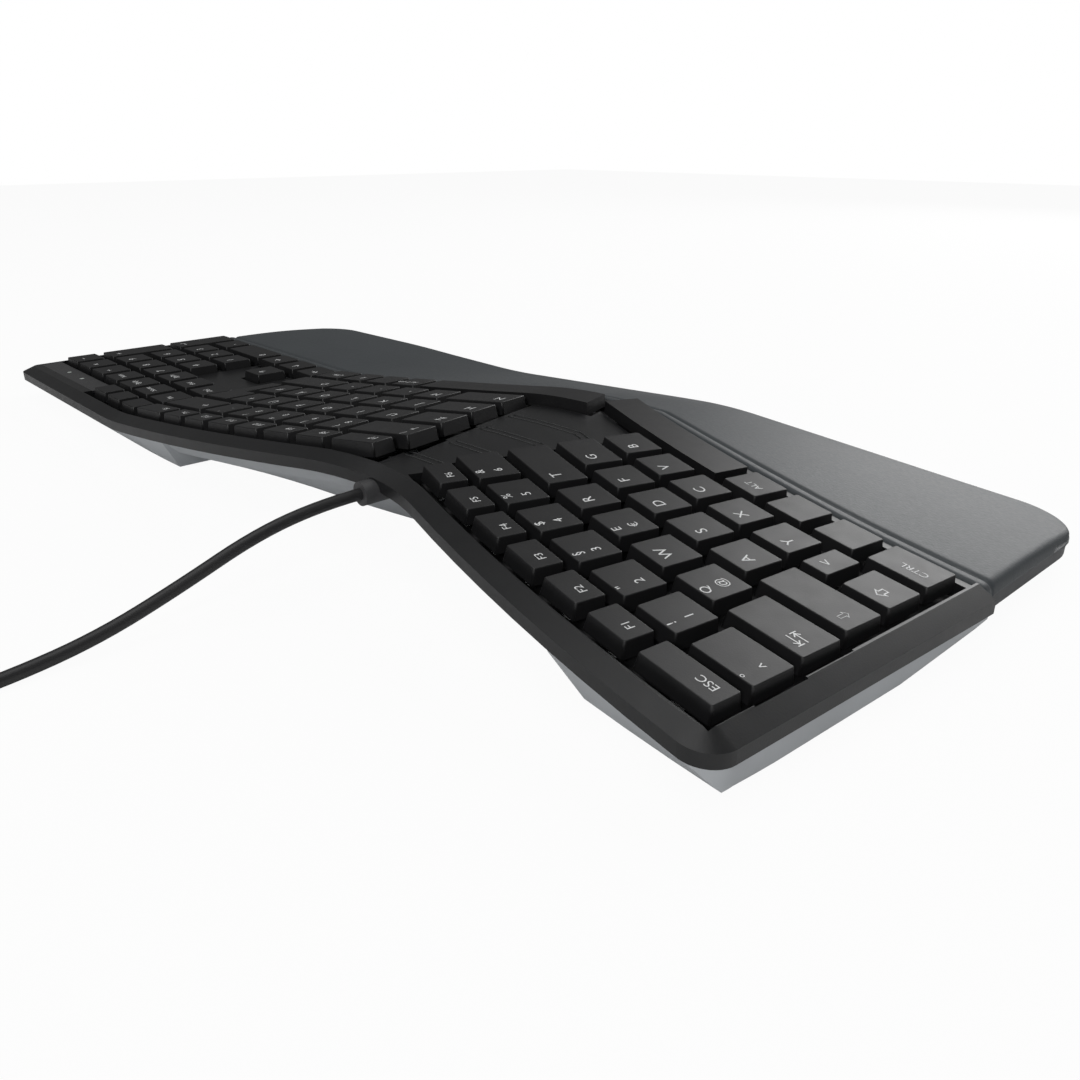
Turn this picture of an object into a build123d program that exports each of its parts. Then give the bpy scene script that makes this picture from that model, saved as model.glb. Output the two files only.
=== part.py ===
from build123d import *
from math import atan, cos, degrees, hypot, pi, radians, sin, sqrt, tan
import os

os.makedirs("parts", exist_ok=True)

# Lengths are millimetres.
# X runs to the typist's right, Y away from the typist, Z up from the desk.

# Key field: one pitch for every row, and how the two halves are tilted and fanned
pitch = 19.05
cap_width = 14.5
cap_gap = pitch - cap_width
function_depth = 9.4
left_tilt = 6.49
right_tilt = 5.96
flat_height = 19.8
left_home_radius = 657.5
right_home_radius = 706.4
left_centre = (-276.6, -623.0)
left_centre_height = 12.9
right_centre = (97.8, -673.7)
function_reach = 53.8
flat_row_y = right_centre[1] + right_home_radius + 2 * pitch
first_column_x = 104.7
system_pitch = 17.65
system_width = 13.2
right_centre_height = 20.28

# Keycaps and what they press
cap_height = 5.0
cap_top = 1.4
cap_skirt = 1.1
cap_flare = 0.65
cap_edge = 0.3
stem_width = 5.0
stem_play = 0.45
wide_cap = 30.0
guide_inset = 7.0
key_travel = 2.4
stem_end = 10.0
bar_reach = 12.0
deck_drop = 8.0
deck_thickness = 1.3
membrane_drop = 12.7
membrane_thickness = 0.3
dome_sheet = 0.3
dome_radius = 3.6
dome_top_radius = 2.4
backing_thickness = 0.6
dome_wall = 0.6
plate_front = 9.0
plate_rear = 3.9
plate_left_angle = 0.069
fan_span = 0.3
plate_split = 96.4
plate_gap = 0.8
crest_gap = 6.0
plate_right_x = 229.3

# Top housing
rim_drop = 2.5
rim_fall = 2.5
rim_width = 6.0
rim_flat = 0.4
well_overlap = 0.5
rib_width = 1.2
band_width = 3.2
band_drop = 9.0
inner_drop = 4.0
rear_reach = 30.4
front_margin = 5.6
well_gap = 2.2
left_rear_x = -232.8
left_front_x = -240.3
right_rear_x = 235.6
right_front_x = 240.3
corner_radius = 9.0
valley_radius = 60.0
crest_radius = 160.0
knee_radius = 200.0

# Indicator panel behind the number pad
panel_left_x = 151.0
panel_right_x = 228.4
panel_front_y = 81.0
panel_rear_y = 91.2
panel_thickness = 1.2
panel_margin = 1.5
panel_clearance = 0.1
lamp_clearance = 0.05
lamp_y = 86.0
lamp_radius = 1.1

# Bottom shell, feet, palm rest
foot_height = 1.6
floor_thickness = 1.8
shell_inset = 1.0
floor_inset = 33.0
shoulder_inset = 8.6
shoulder_drop = 15.5
shell_overrun = 0.4
left_block_inset = 7.0
right_block_inset = 10.2
floor_left_x = -231.5
shoulder_left_x = -236.5
top_left_x = -241.0
floor_right_x = 228.5
top_right_x = 241.0
left_step_x = -186.0
right_step_x = 57.0
step_lean = 10.0
valley_x = -89.5
board_x = -74.0
board_y = 12.0
board_width = 50.0
board_depth = 30.0
board_thickness = 1.6
board_stand = 4.6
post_inset = 4.0
post_radius = 2.5
palm_front_y = -101.3
palm_left_x = -237.0
palm_right_x = 238.0
palm_corner = 24.0
palm_gap = 0.5
pad_crest_radius = 110.0
pad_dip_radius = 130.0
tray_inset = 0.6
foot_radius = 7.0
palm_feet = [(-205.0, -84.0), (-88.0, -84.0), (60.0, -84.0), (205.0, -84.0)]
shell_feet = [
    (-219.0, -9.0), (-218.0, 84.0), (-84.0, -24.0), (60.0, -4.0),
    (215.0, -4.0), (215.0, 80.0), (-84.0, 30.0),
]
palm_bottom = 5.0
tray_skin = 2.4
pad_seam = 0.3
pad_edge = 3.0
screw_radius = 1.25
screw_head_radius = 2.6
screw_head = 1.2
screw_clearance = 0.1
boss_radius = 3.0
boss_clearance = 0.6

# Cable
cable_radius = 2.0
collar_radius = 4.0
collar_x = -79.5
collar_height = 25.6
collar_end_y = 85.4
collar_length = 13.0
collar_clearance = 0.1
collar_flange = 0.9
coil_step = 4.5
coil_turns = 5
coil_inner_radius = 13.0
relief_radius = 3.2
relief_length = 10.0
plug_height = 7.5
plug_width = 15.0
plug_length = 26.0
plug_round = 1.5
contact_height = 4.5
contact_width = 12.0
contact_length = 19.0

outline_size = 800.0
tall = 120.0


def field_plane(centre, height, tilt):
    slope = radians(tilt)
    return Plane(
        origin=(centre[0], centre[1], height),
        x_dir=(cos(slope), 0, sin(slope)),
        z_dir=(-sin(slope), 0, cos(slope)),
    )


left_plane = field_plane(left_centre, left_centre_height, left_tilt)
right_plane = field_plane(right_centre, right_centre_height, -right_tilt)
flat_plane = Plane.XY.offset(flat_height)


def row_radius(home_radius, row):
    if row == 5:
        return home_radius + function_reach
    return home_radius + (row - 2) * pitch


def row_depth(row):
    return function_depth if row == 5 else cap_width


def fan_keys(plane, home_radius, row, start, widths):
    """Caps set side by side along one arc: plane, angle, radius, width and depth of each."""
    radius = row_radius(home_radius, row)
    keys = []
    place = start
    for width in widths:
        angle = (place + width / 2) / radius
        keys.append((plane, angle, radius, width, row_depth(row)))
        place += width + cap_gap
    return keys


def flat_y(row):
    if row == 5:
        return flat_row_y + function_reach - 2 * pitch
    return flat_row_y + (row - 4) * pitch


def flat_keys(row, columns, width=cap_width, depth=cap_width, shift_x=0.0, shift_y=0.0):
    """Caps of the level field, held as plane, angle 0, Y, width, depth and X."""
    keys = []
    for column in columns:
        x = first_column_x + column * pitch + shift_x
        keys.append((flat_plane, 0.0, flat_y(row) + shift_y, width, depth, x))
    return keys


def key_location(key, drop=0.0):
    plane, angle, radius = key[0], key[1], key[2]
    x = key[5] if len(key) > 5 else radius * sin(angle)
    y = radius if len(key) > 5 else radius * cos(angle)
    return plane.location * Location((x, y, -drop), (0, 0, -degrees(angle)))


def left_row(row, start, widths):
    return fan_keys(left_plane, left_home_radius, row, start, widths)


def right_row(row, start, widths):
    return fan_keys(right_plane, right_home_radius, row, start, widths)


one = cap_width
two = pitch + cap_width
key_groups = {
    "key_escape": left_row(5, 51.5, [23.5]),
    "keys_function_left": left_row(5, 79.55, [one - 0.2] * 6),
    "keys_number_left": left_row(4, 50.0, [19.55] + [one] * 5 + [18.7]),
    "key_tab": left_row(3, 49.5, [24.0]),
    "keys_upper_left": left_row(3, 78.05, [one] * 4 + [28.9]),
    "key_caps_lock": left_row(2, 49.3, [28.4]),
    "keys_home_left": left_row(2, 82.25, [one] * 4 + [20.1]),
    "key_shift_left": left_row(1, 48.3, [14.9]),
    "keys_lower_left": left_row(1, 67.9, [9.05]) + left_row(1, 81.5, [one] * 4 + [15.7]),
    "keys_modifier_left": left_row(0, 47.4, [19.6, 14.8, 14.8, 14.8]),
    "keys_function_right": right_row(5, -168.0, [20.15] + [one] * 6 + [24.0]),
    "keys_number_right": right_row(4, -168.2, [29.4] + [one] * 5),
    "key_backspace": right_row(4, -38.95, [two]),
    "keys_upper_right": right_row(3, -162.8, [19.7] + [one] * 6),
    "keys_home_right": right_row(2, -157.2, [24.0] + [one] * 6),
    "keys_lower_right": right_row(1, -152.9, [29.4] + [one] * 4),
    "key_shift_right": right_row(1, -42.75, [37.4]),
    "keys_modifier_right": right_row(0, -82.2, [one, one, one, 19.7]),
    "keys_system": [
        (flat_plane, 0.0, flat_y(5), system_width, function_depth, first_column_x + number * system_pitch)
        for number in range(3)
    ],
    "keys_navigation": flat_keys(4, [0, 1, 2]) + flat_keys(3, [0, 1, 2]),
    "key_arrow_up": flat_keys(1, [1]),
    "keys_arrow": flat_keys(0, [0, 1, 2]),
    "keys_number_pad": (
        flat_keys(4, [3, 4, 5, 6])
        + flat_keys(3, [3, 4, 5])
        + flat_keys(2, [3, 4, 5])
        + flat_keys(1, [3, 4, 5])
        + flat_keys(0, [5])
    ),
    "keys_number_pad_tall": (
        flat_keys(3, [6], depth=two, shift_y=-pitch / 2) + flat_keys(1, [6], depth=two, shift_y=-pitch / 2)
    ),
    "key_zero": flat_keys(0, [3], width=two, shift_x=pitch / 2),
}

# The space bars are bent along their row, and Enter turns a corner over two rows
space_left = fan_keys(left_plane, left_home_radius, 0, 129.4, [71.1])[0]
space_right = fan_keys(right_plane, right_home_radius, 0, -174.6, [87.85])[0]
enter_upper = right_row(3, -24.25, [18.9])[0]
enter_lower = right_row(2, -14.35, [9.0])[0]


def stem_places(width, depth):
    """Where the guide stems stand under a cap, measured from its middle."""
    if width >= wide_cap:
        side = width / 2 - guide_inset
        return [(-side, 0), (0, 0), (side, 0)]
    if depth >= wide_cap:
        side = depth / 2 - guide_inset
        return [(0, -side), (0, 0), (0, side)]
    return [(0, 0)]


def cap_solid(width, depth):
    """One hollow cap with its stems, its top face at Z 0."""
    with BuildPart() as cap:
        with BuildSketch():
            Rectangle(width, depth)
        with BuildSketch(Plane.XY.offset(-cap_height)):
            Rectangle(width + 2 * cap_flare, depth + 2 * cap_flare)
        loft()
        chamfer(cap.faces().sort_by(Axis.Z)[-1].edges(), cap_edge)
        with BuildSketch(Plane.XY.offset(-cap_height)):
            Rectangle(width + 2 * cap_flare - 2 * cap_skirt, depth + 2 * cap_flare - 2 * cap_skirt)
        with BuildSketch(Plane.XY.offset(-cap_top)):
            Rectangle(width - 2 * cap_skirt, depth - 2 * cap_skirt)
        loft(mode=Mode.SUBTRACT)
        for place in stem_places(width, depth):
            with Locations((place[0], place[1], -(cap_top + stem_end) / 2)):
                Box(stem_width, stem_width, stem_end - cap_top)
    return cap.part


caps = {}
for keys in key_groups.values():
    for key in keys:
        if key[3:5] not in caps:
            caps[key[3:5]] = cap_solid(key[3], key[4])

for name, keys in key_groups.items():
    with BuildPart() as group:
        for key in keys:
            with Locations(key_location(key)):
                add(caps[key[3:5]])
    group.part.label = name
    export_step(group.part, f"parts/{name}.step")


def ring_piece(inner, outer, start, end):
    """A flat piece of a ring, its angles measured clockwise from the Y axis."""
    with BuildSketch() as piece:
        with BuildLine():
            middle = (start + end) / 2
            near = [(inner * sin(a), inner * cos(a)) for a in (start, middle, end)]
            far = [(outer * sin(a), outer * cos(a)) for a in (start, middle, end)]
            ThreePointArc(near[0], near[1], near[2])
            Line(near[2], far[2])
            ThreePointArc(far[2], far[1], far[0])
            Line(far[0], near[0])
        make_face()
    return piece.sketch


def wave_points(drop):
    """Crest and knee, as X and Z, where neighbouring key planes meet after a drop."""
    left_rise = tan(radians(left_tilt))
    right_rise = -tan(radians(right_tilt))
    left_zero = left_centre_height - drop / cos(radians(left_tilt)) - left_rise * left_centre[0]
    right_zero = right_centre_height - drop / cos(radians(right_tilt)) - right_rise * right_centre[0]
    crest_x = (right_zero - left_zero) / (left_rise - right_rise)
    knee_x = (flat_height - drop - right_zero) / right_rise
    return [(crest_x, left_zero + left_rise * crest_x), (knee_x, flat_height - drop)]


def wave_height(x, drop):
    """Height of the wave without its rounding."""
    crest, knee = wave_points(drop)
    if x < crest[0]:
        return crest[1] + (x - crest[0]) * tan(radians(left_tilt))
    if x < knee[0]:
        return crest[1] - (x - crest[0]) * tan(radians(right_tilt))
    return knee[1]


def wave_body(drop, rounded=True):
    """Everything under the wave of the key tops, lowered by a drop."""
    crest, knee = wave_points(drop)
    reach = outline_size / 2
    with BuildPart() as wave:
        with BuildSketch(Plane.XZ) as profile:
            with BuildLine():
                Polyline(
                    (-reach, wave_height(-reach, drop)), crest, knee, (reach, knee[1]),
                    (reach, -tall), (-reach, -tall), close=True,
                )
            make_face()
            if rounded:
                tops = profile.vertices().sort_by(Axis.Z)
                fillet([v for v in tops if abs(v.X - crest[0]) < 1], crest_radius - drop)
                fillet([v for v in profile.vertices() if abs(v.X - knee[0]) < 1], knee_radius + drop)
        extrude(amount=reach, both=True)
    return wave.part


def outline_face(inset, front_inset):
    """Plan of the housing, two fans and a straight stretch, drawn in all round."""
    reach = 2 * pitch + rear_reach - inset
    front = 2 * pitch + cap_width / 2 + front_margin - front_inset
    rear_y = right_centre[1] + right_home_radius + reach
    front_y = right_centre[1] + right_home_radius - front
    with BuildSketch() as plan:
        with Locations(left_centre):
            Circle(left_home_radius + reach)
        with Locations(right_centre):
            Circle(right_home_radius + reach)
        with Locations((right_centre[0] + outline_size / 4, rear_y - outline_size / 4)):
            Rectangle(outline_size / 2, outline_size / 2)
        valley = [v for v in plan.vertices() if abs(v.X - collar_x) < 40 and v.Y > 0]
        fillet(valley, valley_radius)
        with Locations(left_centre):
            Circle(left_home_radius - front, mode=Mode.SUBTRACT)
        with Locations(right_centre):
            Circle(right_home_radius - front, mode=Mode.SUBTRACT)
        with Locations((right_centre[0] + outline_size / 2, front_y - outline_size / 2)):
            Rectangle(outline_size, outline_size, mode=Mode.SUBTRACT)
        with BuildSketch(mode=Mode.INTERSECT):
            with BuildLine():
                Polyline(
                    (left_front_x + inset, front_y - outline_size / 4), (left_front_x + inset, front_y),
                    (2 * left_rear_x - left_front_x + inset, 2 * rear_y - front_y),
                    (2 * right_rear_x - right_front_x - inset, 2 * rear_y - front_y),
                    (right_front_x - inset, front_y), (right_front_x - inset, front_y - outline_size / 4),
                    close=True,
                )
            make_face()
        corners = [v for v in plan.vertices() if v.Y > front_y + 60 and abs(v.X) > 200]
        fillet(corners, corner_radius - inset / 2)
    return plan.sketch


def space_bar(key, stems):
    """A cap bent along its row and over the crest, its stems square to its own key plane."""
    plane, angle, radius, width, depth = key
    half = width / 2 / radius
    inner, outer = radius - depth / 2, radius + depth / 2
    skirt = cap_skirt / radius
    with BuildPart() as bar:
        with BuildSketch(plane.offset(bar_reach)):
            add(ring_piece(inner, outer, angle - half, angle + half))
        extrude(amount=-2 * bar_reach)
        add(wave_body(0.0), mode=Mode.INTERSECT)
        add(wave_body(cap_height), mode=Mode.SUBTRACT)
    with BuildPart() as hollow:
        with BuildSketch(plane.offset(bar_reach)):
            add(ring_piece(inner + cap_skirt, outer - cap_skirt, angle - half + skirt, angle + half - skirt))
        extrude(amount=-2 * bar_reach)
        add(wave_body(cap_top), mode=Mode.INTERSECT)
    with BuildPart() as guides:
        for place in stems:
            turn = place / radius
            with BuildSketch(plane.offset(-cap_top)):
                with Locations(Location((radius * sin(turn), radius * cos(turn), 0), (0, 0, -degrees(turn)))):
                    Rectangle(stem_width, stem_width)
            extrude(amount=-(stem_end - cap_top))
    with BuildPart() as whole:
        add(bar.part)
        add(hollow.part, mode=Mode.SUBTRACT)
        add(guides.part)
    return whole.part


space_bars = {
    "key_space_left": (space_left, [139.0, 165.0, 190.0]),
    "key_space_right": (space_right, [-146.0, -120.0, -94.0]),
}
for name, (key, stems) in space_bars.items():
    bar = space_bar(key, stems)
    bar.label = name
    export_step(bar, f"parts/{name}.step")

# Enter turns a corner: its narrow lower part reaches one row nearer the typist
enter_parts = (
    (enter_upper, cap_width, 0.0),
    (enter_lower, cap_width + 2 * cap_gap, cap_gap),
)
with BuildPart() as key_enter:
    with BuildSketch(right_plane) as enter_top:
        for key, depth, shift in enter_parts:
            x, y = key[2] * sin(key[1]), key[2] * cos(key[1])
            with Locations(Location((x, y, 0), (0, 0, -degrees(key[1])))):
                with Locations((0, shift)):
                    Rectangle(key[3], depth)
    extrude(amount=-cap_height, taper=-degrees(atan(cap_flare / cap_height)))
    enter_faces = key_enter.faces().sort_by(Axis.Z)
    chamfer(enter_faces[-1].edges(), cap_edge)
    with BuildSketch(right_plane.offset(-cap_height)):
        for key, depth, shift in enter_parts:
            x, y = key[2] * sin(key[1]), key[2] * cos(key[1])
            with Locations(Location((x, y, 0), (0, 0, -degrees(key[1])))):
                with Locations((0, shift)):
                    Rectangle(key[3] - cap_skirt, depth - cap_skirt)
    extrude(amount=cap_height - cap_top, mode=Mode.SUBTRACT)
    for key in (enter_upper, enter_lower):
        with BuildSketch(right_plane.offset(-cap_top)):
            x, y = key[2] * sin(key[1]), key[2] * cos(key[1])
            with Locations(Location((x, y, 0), (0, 0, -degrees(key[1])))):
                Rectangle(stem_width, stem_width)
        extrude(amount=-(stem_end - cap_top))
key_enter.part.label = "key_enter"
export_step(key_enter.part, "parts/key_enter.step")

# Every stem's place on its key plane, for the holes and domes under it
fields = {"left": left_plane, "right": right_plane, "number": flat_plane}
stem_seats = {"left": [], "right": [], "number": []}
for field, plane in fields.items():
    for keys in key_groups.values():
        for key in keys:
            if key[0] is plane:
                for place in stem_places(key[3], key[4]):
                    stem_seats[field].append(key_location(key) * Location((place[0], place[1], 0)))
for field in ("left", "right"):
    key, stems = space_bars["key_space_" + field]
    for place in stems:
        turn = place / key[2]
        seat = Location((key[2] * sin(turn), key[2] * cos(turn), 0), (0, 0, -degrees(turn)))
        stem_seats[field].append(key[0].location * seat)
stem_seats["right"] += [key_location(enter_upper), key_location(enter_lower)]

# Screws stand square to their key plate, in the gaps between two rows
between_low = -1.5 * pitch
between_high = 1.5 * pitch
screw_seats = {
    "left": [
        (left_home_radius + rise, place)
        for rise, place in (
            (between_low, 60.0), (between_low, 185.0),
            (between_high, 60.0), (between_high, 180.0),
        )
    ],
    "right": [
        (right_home_radius + rise, place)
        for rise, place in (
            (between_low, -150.0), (between_low, -20.0),
            (between_high, -150.0), (between_high, -20.0),
        )
    ],
}
screw_places = {
    field: [
        fields[field].location * Location((radius * sin(place / radius), radius * cos(place / radius), 0))
        for radius, place in seats
    ]
    for field, seats in screw_seats.items()
}
screw_places["number"] = [
    Location((first_column_x + column * pitch, flat_y(2) + rise, flat_height))
    for column in (0.5, 5.5)
    for rise in (between_low, between_high)
]


def screw_head_seat(place):
    """Where a screw's head bears on the shell, with Z along the screw."""
    axis = Plane(place).z_dir
    rise = (place.position.Z - foot_height - screw_head) / axis.Z
    return place * Location((0, 0, -rise))


def field_face(field, layer_plane):
    """Plan of one field's layers, on a plane parallel to its keys."""
    front = 2 * pitch + plate_front
    rear = function_reach + plate_rear
    crest_x = wave_points(deck_drop)[0][0]

    def local_x(x):
        return (x - layer_plane.origin.X) / layer_plane.x_dir.X

    with BuildSketch() as face:
        if field == "number":
            front_y = right_centre[1] + right_home_radius - front
            rear_y = right_centre[1] + right_home_radius + rear
            start_x = plate_split + plate_gap
            with Locations(((start_x + plate_right_x) / 2, (front_y + rear_y) / 2)):
                Rectangle(plate_right_x - start_x, rear_y - front_y)
        elif field == "left":
            radii = (left_home_radius - front, left_home_radius + rear)
            add(ring_piece(radii[0], radii[1], plate_left_angle, plate_left_angle + fan_span))
            with Locations((local_x(crest_x - crest_gap) + outline_size / 2, left_home_radius)):
                Rectangle(outline_size, outline_size, mode=Mode.SUBTRACT)
            with Locations((local_x(right_centre[0]), right_centre[1] - left_centre[1])):
                Circle(right_home_radius - front + plate_gap, mode=Mode.SUBTRACT)
        else:
            radii = (right_home_radius - front, right_home_radius + rear)
            add(ring_piece(radii[0], radii[1], -fan_span, fan_span / 10))
            with Locations((local_x(crest_x + crest_gap) - outline_size / 2, right_home_radius)):
                Rectangle(outline_size, outline_size, mode=Mode.SUBTRACT)
            with Locations((local_x(plate_split - plate_gap) + outline_size / 2, right_home_radius)):
                Rectangle(outline_size, outline_size, mode=Mode.SUBTRACT)
    return face.sketch


def layer_part(field, drop, thickness, screw_hole):
    """One flat layer of a field, clear of the screws or their bosses."""
    layer_plane = fields[field].offset(-drop)
    with BuildPart() as layer:
        with BuildSketch(layer_plane):
            add(field_face(field, layer_plane))
        extrude(amount=-thickness)
        for place in screw_places[field]:
            with Locations(place * Location((0, 0, -drop - thickness / 2))):
                Cylinder(screw_hole, 4 * thickness, mode=Mode.SUBTRACT)
    return layer.part


stem_hole = stem_width + 2 * stem_play
from_below = (Align.CENTER, Align.CENTER, Align.MIN)
for field, seats in stem_seats.items():
    with BuildPart() as key_plate:
        add(layer_part(field, deck_drop, deck_thickness, screw_radius + screw_clearance))
        for seat in seats:
            with Locations(seat * Location((0, 0, -deck_drop - deck_thickness / 2))):
                Box(stem_hole, stem_hole, 4 * deck_thickness, mode=Mode.SUBTRACT)
    key_plate.part.label = "key_plate_" + field
    export_step(key_plate.part, f"parts/key_plate_{field}.step")

    dome_base = membrane_drop - dome_sheet
    with BuildPart() as dome:
        Cone(dome_radius, dome_top_radius, dome_base - stem_end, align=from_below)
        with Locations((0, 0, -dome_sheet)):
            Cone(
                dome_radius - dome_wall, dome_top_radius - dome_wall,
                dome_base - stem_end - dome_wall + dome_sheet,
                align=from_below, mode=Mode.SUBTRACT,
            )
    with BuildPart() as dome_mat:
        add(layer_part(field, dome_base, dome_sheet, boss_radius + boss_clearance))
        for seat in seats:
            with Locations(seat * Location((0, 0, -dome_base - dome_sheet / 2))):
                Cylinder(dome_radius - dome_wall, 2 * dome_sheet, mode=Mode.SUBTRACT)
        for seat in seats:
            with Locations(seat * Location((0, 0, -dome_base))):
                add(dome.part)
    dome_mat.part.label = "dome_mat_" + field
    export_step(dome_mat.part, f"parts/dome_mat_{field}.step")

    membrane = layer_part(field, membrane_drop, membrane_thickness, boss_radius + boss_clearance)
    membrane.label = "membrane_" + field
    export_step(membrane, f"parts/membrane_{field}.step")

    backing_drop = membrane_drop + membrane_thickness
    backing = layer_part(field, backing_drop, backing_thickness, boss_radius + boss_clearance)
    backing.label = "backing_plate_" + field
    export_step(backing, f"parts/backing_plate_{field}.step")

# Wells that the keys stand in, one stretch for every row
left_wells = [
    (0, 47.4, 200.5), (1, 48.3, 173.4), (2, 49.3, 178.55),
    (3, 49.5, 183.15), (4, 50.0, 188.45), (5, 51.5, 188.4),
]
right_wells = [
    (0, -174.6, 0.0), (1, -152.9, -5.35), (2, -157.2, -5.35),
    (3, -162.8, 0.0), (4, -168.2, 0.0), (5, -168.0, 0.0),
]
well_clear = cap_flare + well_gap
row_edge = cap_width / 2 + well_clear


def well_face(home_radius, wells):
    """Plan of one fan's wells, on its own key plane."""
    with BuildSketch() as face:
        for row, start, end in wells:
            radius = row_radius(home_radius, row)
            inner = radius - (row_edge if row == 0 else pitch / 2)
            outer = radius + pitch / 2
            if row == 5:
                inner = row_radius(home_radius, 4) + pitch / 2 - well_overlap
                outer = home_radius + 2 * pitch + rear_reach - rim_width
            add(ring_piece(inner, outer, (start - well_clear) / radius, (end + well_clear) / radius))
    return face.sketch


def flat_well(rows, columns, rear_y=None):
    """A rectangle over some rows and columns of the level field, inside a sketch."""
    low = flat_y(rows[0]) - (row_edge if rows[0] == 0 else pitch / 2)
    high = rear_y if rear_y else flat_y(rows[1]) + (row_edge if rows[1] == 4 else pitch / 2)
    before = pitch / 2 + 1.5 if columns[0] == 0 else pitch / 2 - rib_width / 2
    left = first_column_x + columns[0] * pitch - before
    right = first_column_x + columns[1] * pitch + (row_edge if columns[1] == 6 else pitch / 2 - rib_width / 2)
    with Locations(((left + right) / 2, (low + high) / 2)):
        Rectangle(right - left, high - low)


def rear_edge(point):
    """Whether a point lies along the sides or the rear of the housing, not along its front."""
    return point.Y > 30 or abs(point.X) > 230


with BuildPart() as collar_hole:
    with Locations(Location((collar_x, collar_end_y, collar_height), (90, 0, 0))):
        Cylinder(collar_radius + collar_clearance, 2 * collar_length)
    with Locations(Location((collar_x, collar_end_y - collar_length, collar_height), (90, 0, 0))):
        flange_hole = collar_radius + collar_flange + collar_clearance
        Cylinder(flange_hole, collar_length, align=(Align.CENTER, Align.CENTER, Align.MIN))

with BuildPart() as upper_hollow:
    with BuildSketch():
        add(outline_face(rim_width, -rim_width))
        corner_x = panel_left_x - panel_margin + outline_size / 2
        corner = (corner_x, panel_front_y - panel_margin + outline_size / 2)
        with Locations(corner):
            Rectangle(outline_size, outline_size, mode=Mode.SUBTRACT)
    extrude(amount=tall)
    add(wave_body(inner_drop), mode=Mode.SUBTRACT)

with BuildPart() as under_hollow:
    with BuildSketch():
        add(outline_face(band_width, band_width))
    extrude(amount=tall)
    add(wave_body(deck_drop, rounded=False), mode=Mode.INTERSECT)

with BuildPart() as top_housing:
    with BuildSketch():
        add(outline_face(0.0, 0.0))
    extrude(amount=tall)
    add(wave_body(rim_drop), mode=Mode.INTERSECT)
    tops = [e for e in top_housing.edges() if abs(e.center().Z - wave_height(e.center().X, rim_drop)) < 1.6]
    chamfer([e for e in tops if e.length > 1 and rear_edge(e.center())], rim_fall, rim_width - rim_flat)
    add(wave_body(band_drop), mode=Mode.SUBTRACT)
    add(upper_hollow.part, mode=Mode.SUBTRACT)
    add(under_hollow.part, mode=Mode.SUBTRACT)
    for plane, home_radius, wells in (
        (left_plane, left_home_radius, left_wells), (right_plane, right_home_radius, right_wells),
    ):
        with BuildSketch(plane.offset(bar_reach)):
            add(well_face(home_radius, wells))
        extrude(amount=-2 * bar_reach, mode=Mode.SUBTRACT)
    with BuildSketch(flat_plane.offset(bar_reach)):
        flat_well((0, 0), (0, 2))
        flat_well((0, 0), (3, 6))
        flat_well((0, 1), (1, 1))
        flat_well((1, 4), (3, 6))
        flat_well((3, 4), (0, 2))
        flat_well((4, 4), (0, 2), rear_y=flat_row_y + rear_reach - rim_width)
    extrude(amount=-2 * bar_reach, mode=Mode.SUBTRACT)
    add(collar_hole.part, mode=Mode.SUBTRACT)
    panel_middle = ((panel_left_x + panel_right_x) / 2, (panel_front_y + panel_rear_y) / 2)
    with Locations((panel_middle[0], panel_middle[1], flat_height - rim_drop - panel_thickness / 2)):
        Box(
            panel_right_x - panel_left_x + 2 * panel_clearance,
            panel_rear_y - panel_front_y + 2 * panel_clearance,
            panel_thickness, mode=Mode.SUBTRACT,
        )
top_housing.part.label = "top_housing"
export_step(top_housing.part, "parts/top_housing.step")

# Indicator panel, flush in its recess, with two lamps
lamp_places = [(first_column_x + column * pitch, lamp_y, flat_height - rim_drop) for column in (4, 5)]
with BuildPart() as indicator_panel:
    with Locations((panel_middle[0], panel_middle[1], flat_height - rim_drop - panel_thickness / 2)):
        Box(panel_right_x - panel_left_x, panel_rear_y - panel_front_y, panel_thickness)
    with Locations(*lamp_places):
        Cylinder(lamp_radius + lamp_clearance, 4 * panel_thickness, mode=Mode.SUBTRACT)
indicator_panel.part.label = "indicator_panel"
export_step(indicator_panel.part, "parts/indicator_panel.step")

with BuildPart() as indicator_lamps:
    with Locations(*[Location((x, y, z - panel_thickness / 2)) for x, y, z in lamp_places]):
        Cylinder(lamp_radius, panel_thickness)
indicator_lamps.part.label = "indicator_lamps"
export_step(indicator_lamps.part, "parts/indicator_lamps.step")


def plan_y(x, centre, radius):
    """Y of a plan curve: round a fan centre, or straight where there is none."""
    if centre is None:
        return right_centre[1] + radius
    return centre[1] + sqrt(radius**2 - (x - centre[0]) ** 2)


def wall_section(plane, start, end, centre, rear, front):
    """Face on a plane between two X values, a rear curve and a front curve."""

    def spot(x, y):
        z = plane.origin.Z - (x - plane.origin.X) * plane.z_dir.X / plane.z_dir.Z
        local = plane.to_local_coords(Vector(x, y, z))
        return (local.X, local.Y)

    middle = (start + end) / 2
    front_spots = [spot(x, plan_y(x, centre, front)) for x in (start, middle, end)]
    rear_spots = [spot(x, plan_y(x, centre, rear)) for x in (start, middle, end)]
    with BuildSketch() as face:
        with BuildLine():
            for spots in (front_spots, rear_spots):
                if centre is None:
                    Line(spots[0], spots[2])
                else:
                    ThreePointArc(*spots)
            Line(front_spots[0], rear_spots[0])
            Line(front_spots[2], rear_spots[2])
        make_face()
    return face.sketch


crest_x = wave_points(0.0)[0][0]
knee_x = wave_points(0.0)[1][0]
left_edge = left_home_radius + 2 * pitch + rear_reach
right_edge = right_home_radius + 2 * pitch + rear_reach
left_front = left_home_radius - 2 * pitch - cap_width / 2 - front_margin
right_front = right_home_radius - 2 * pitch - cap_width / 2 - front_margin


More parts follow.
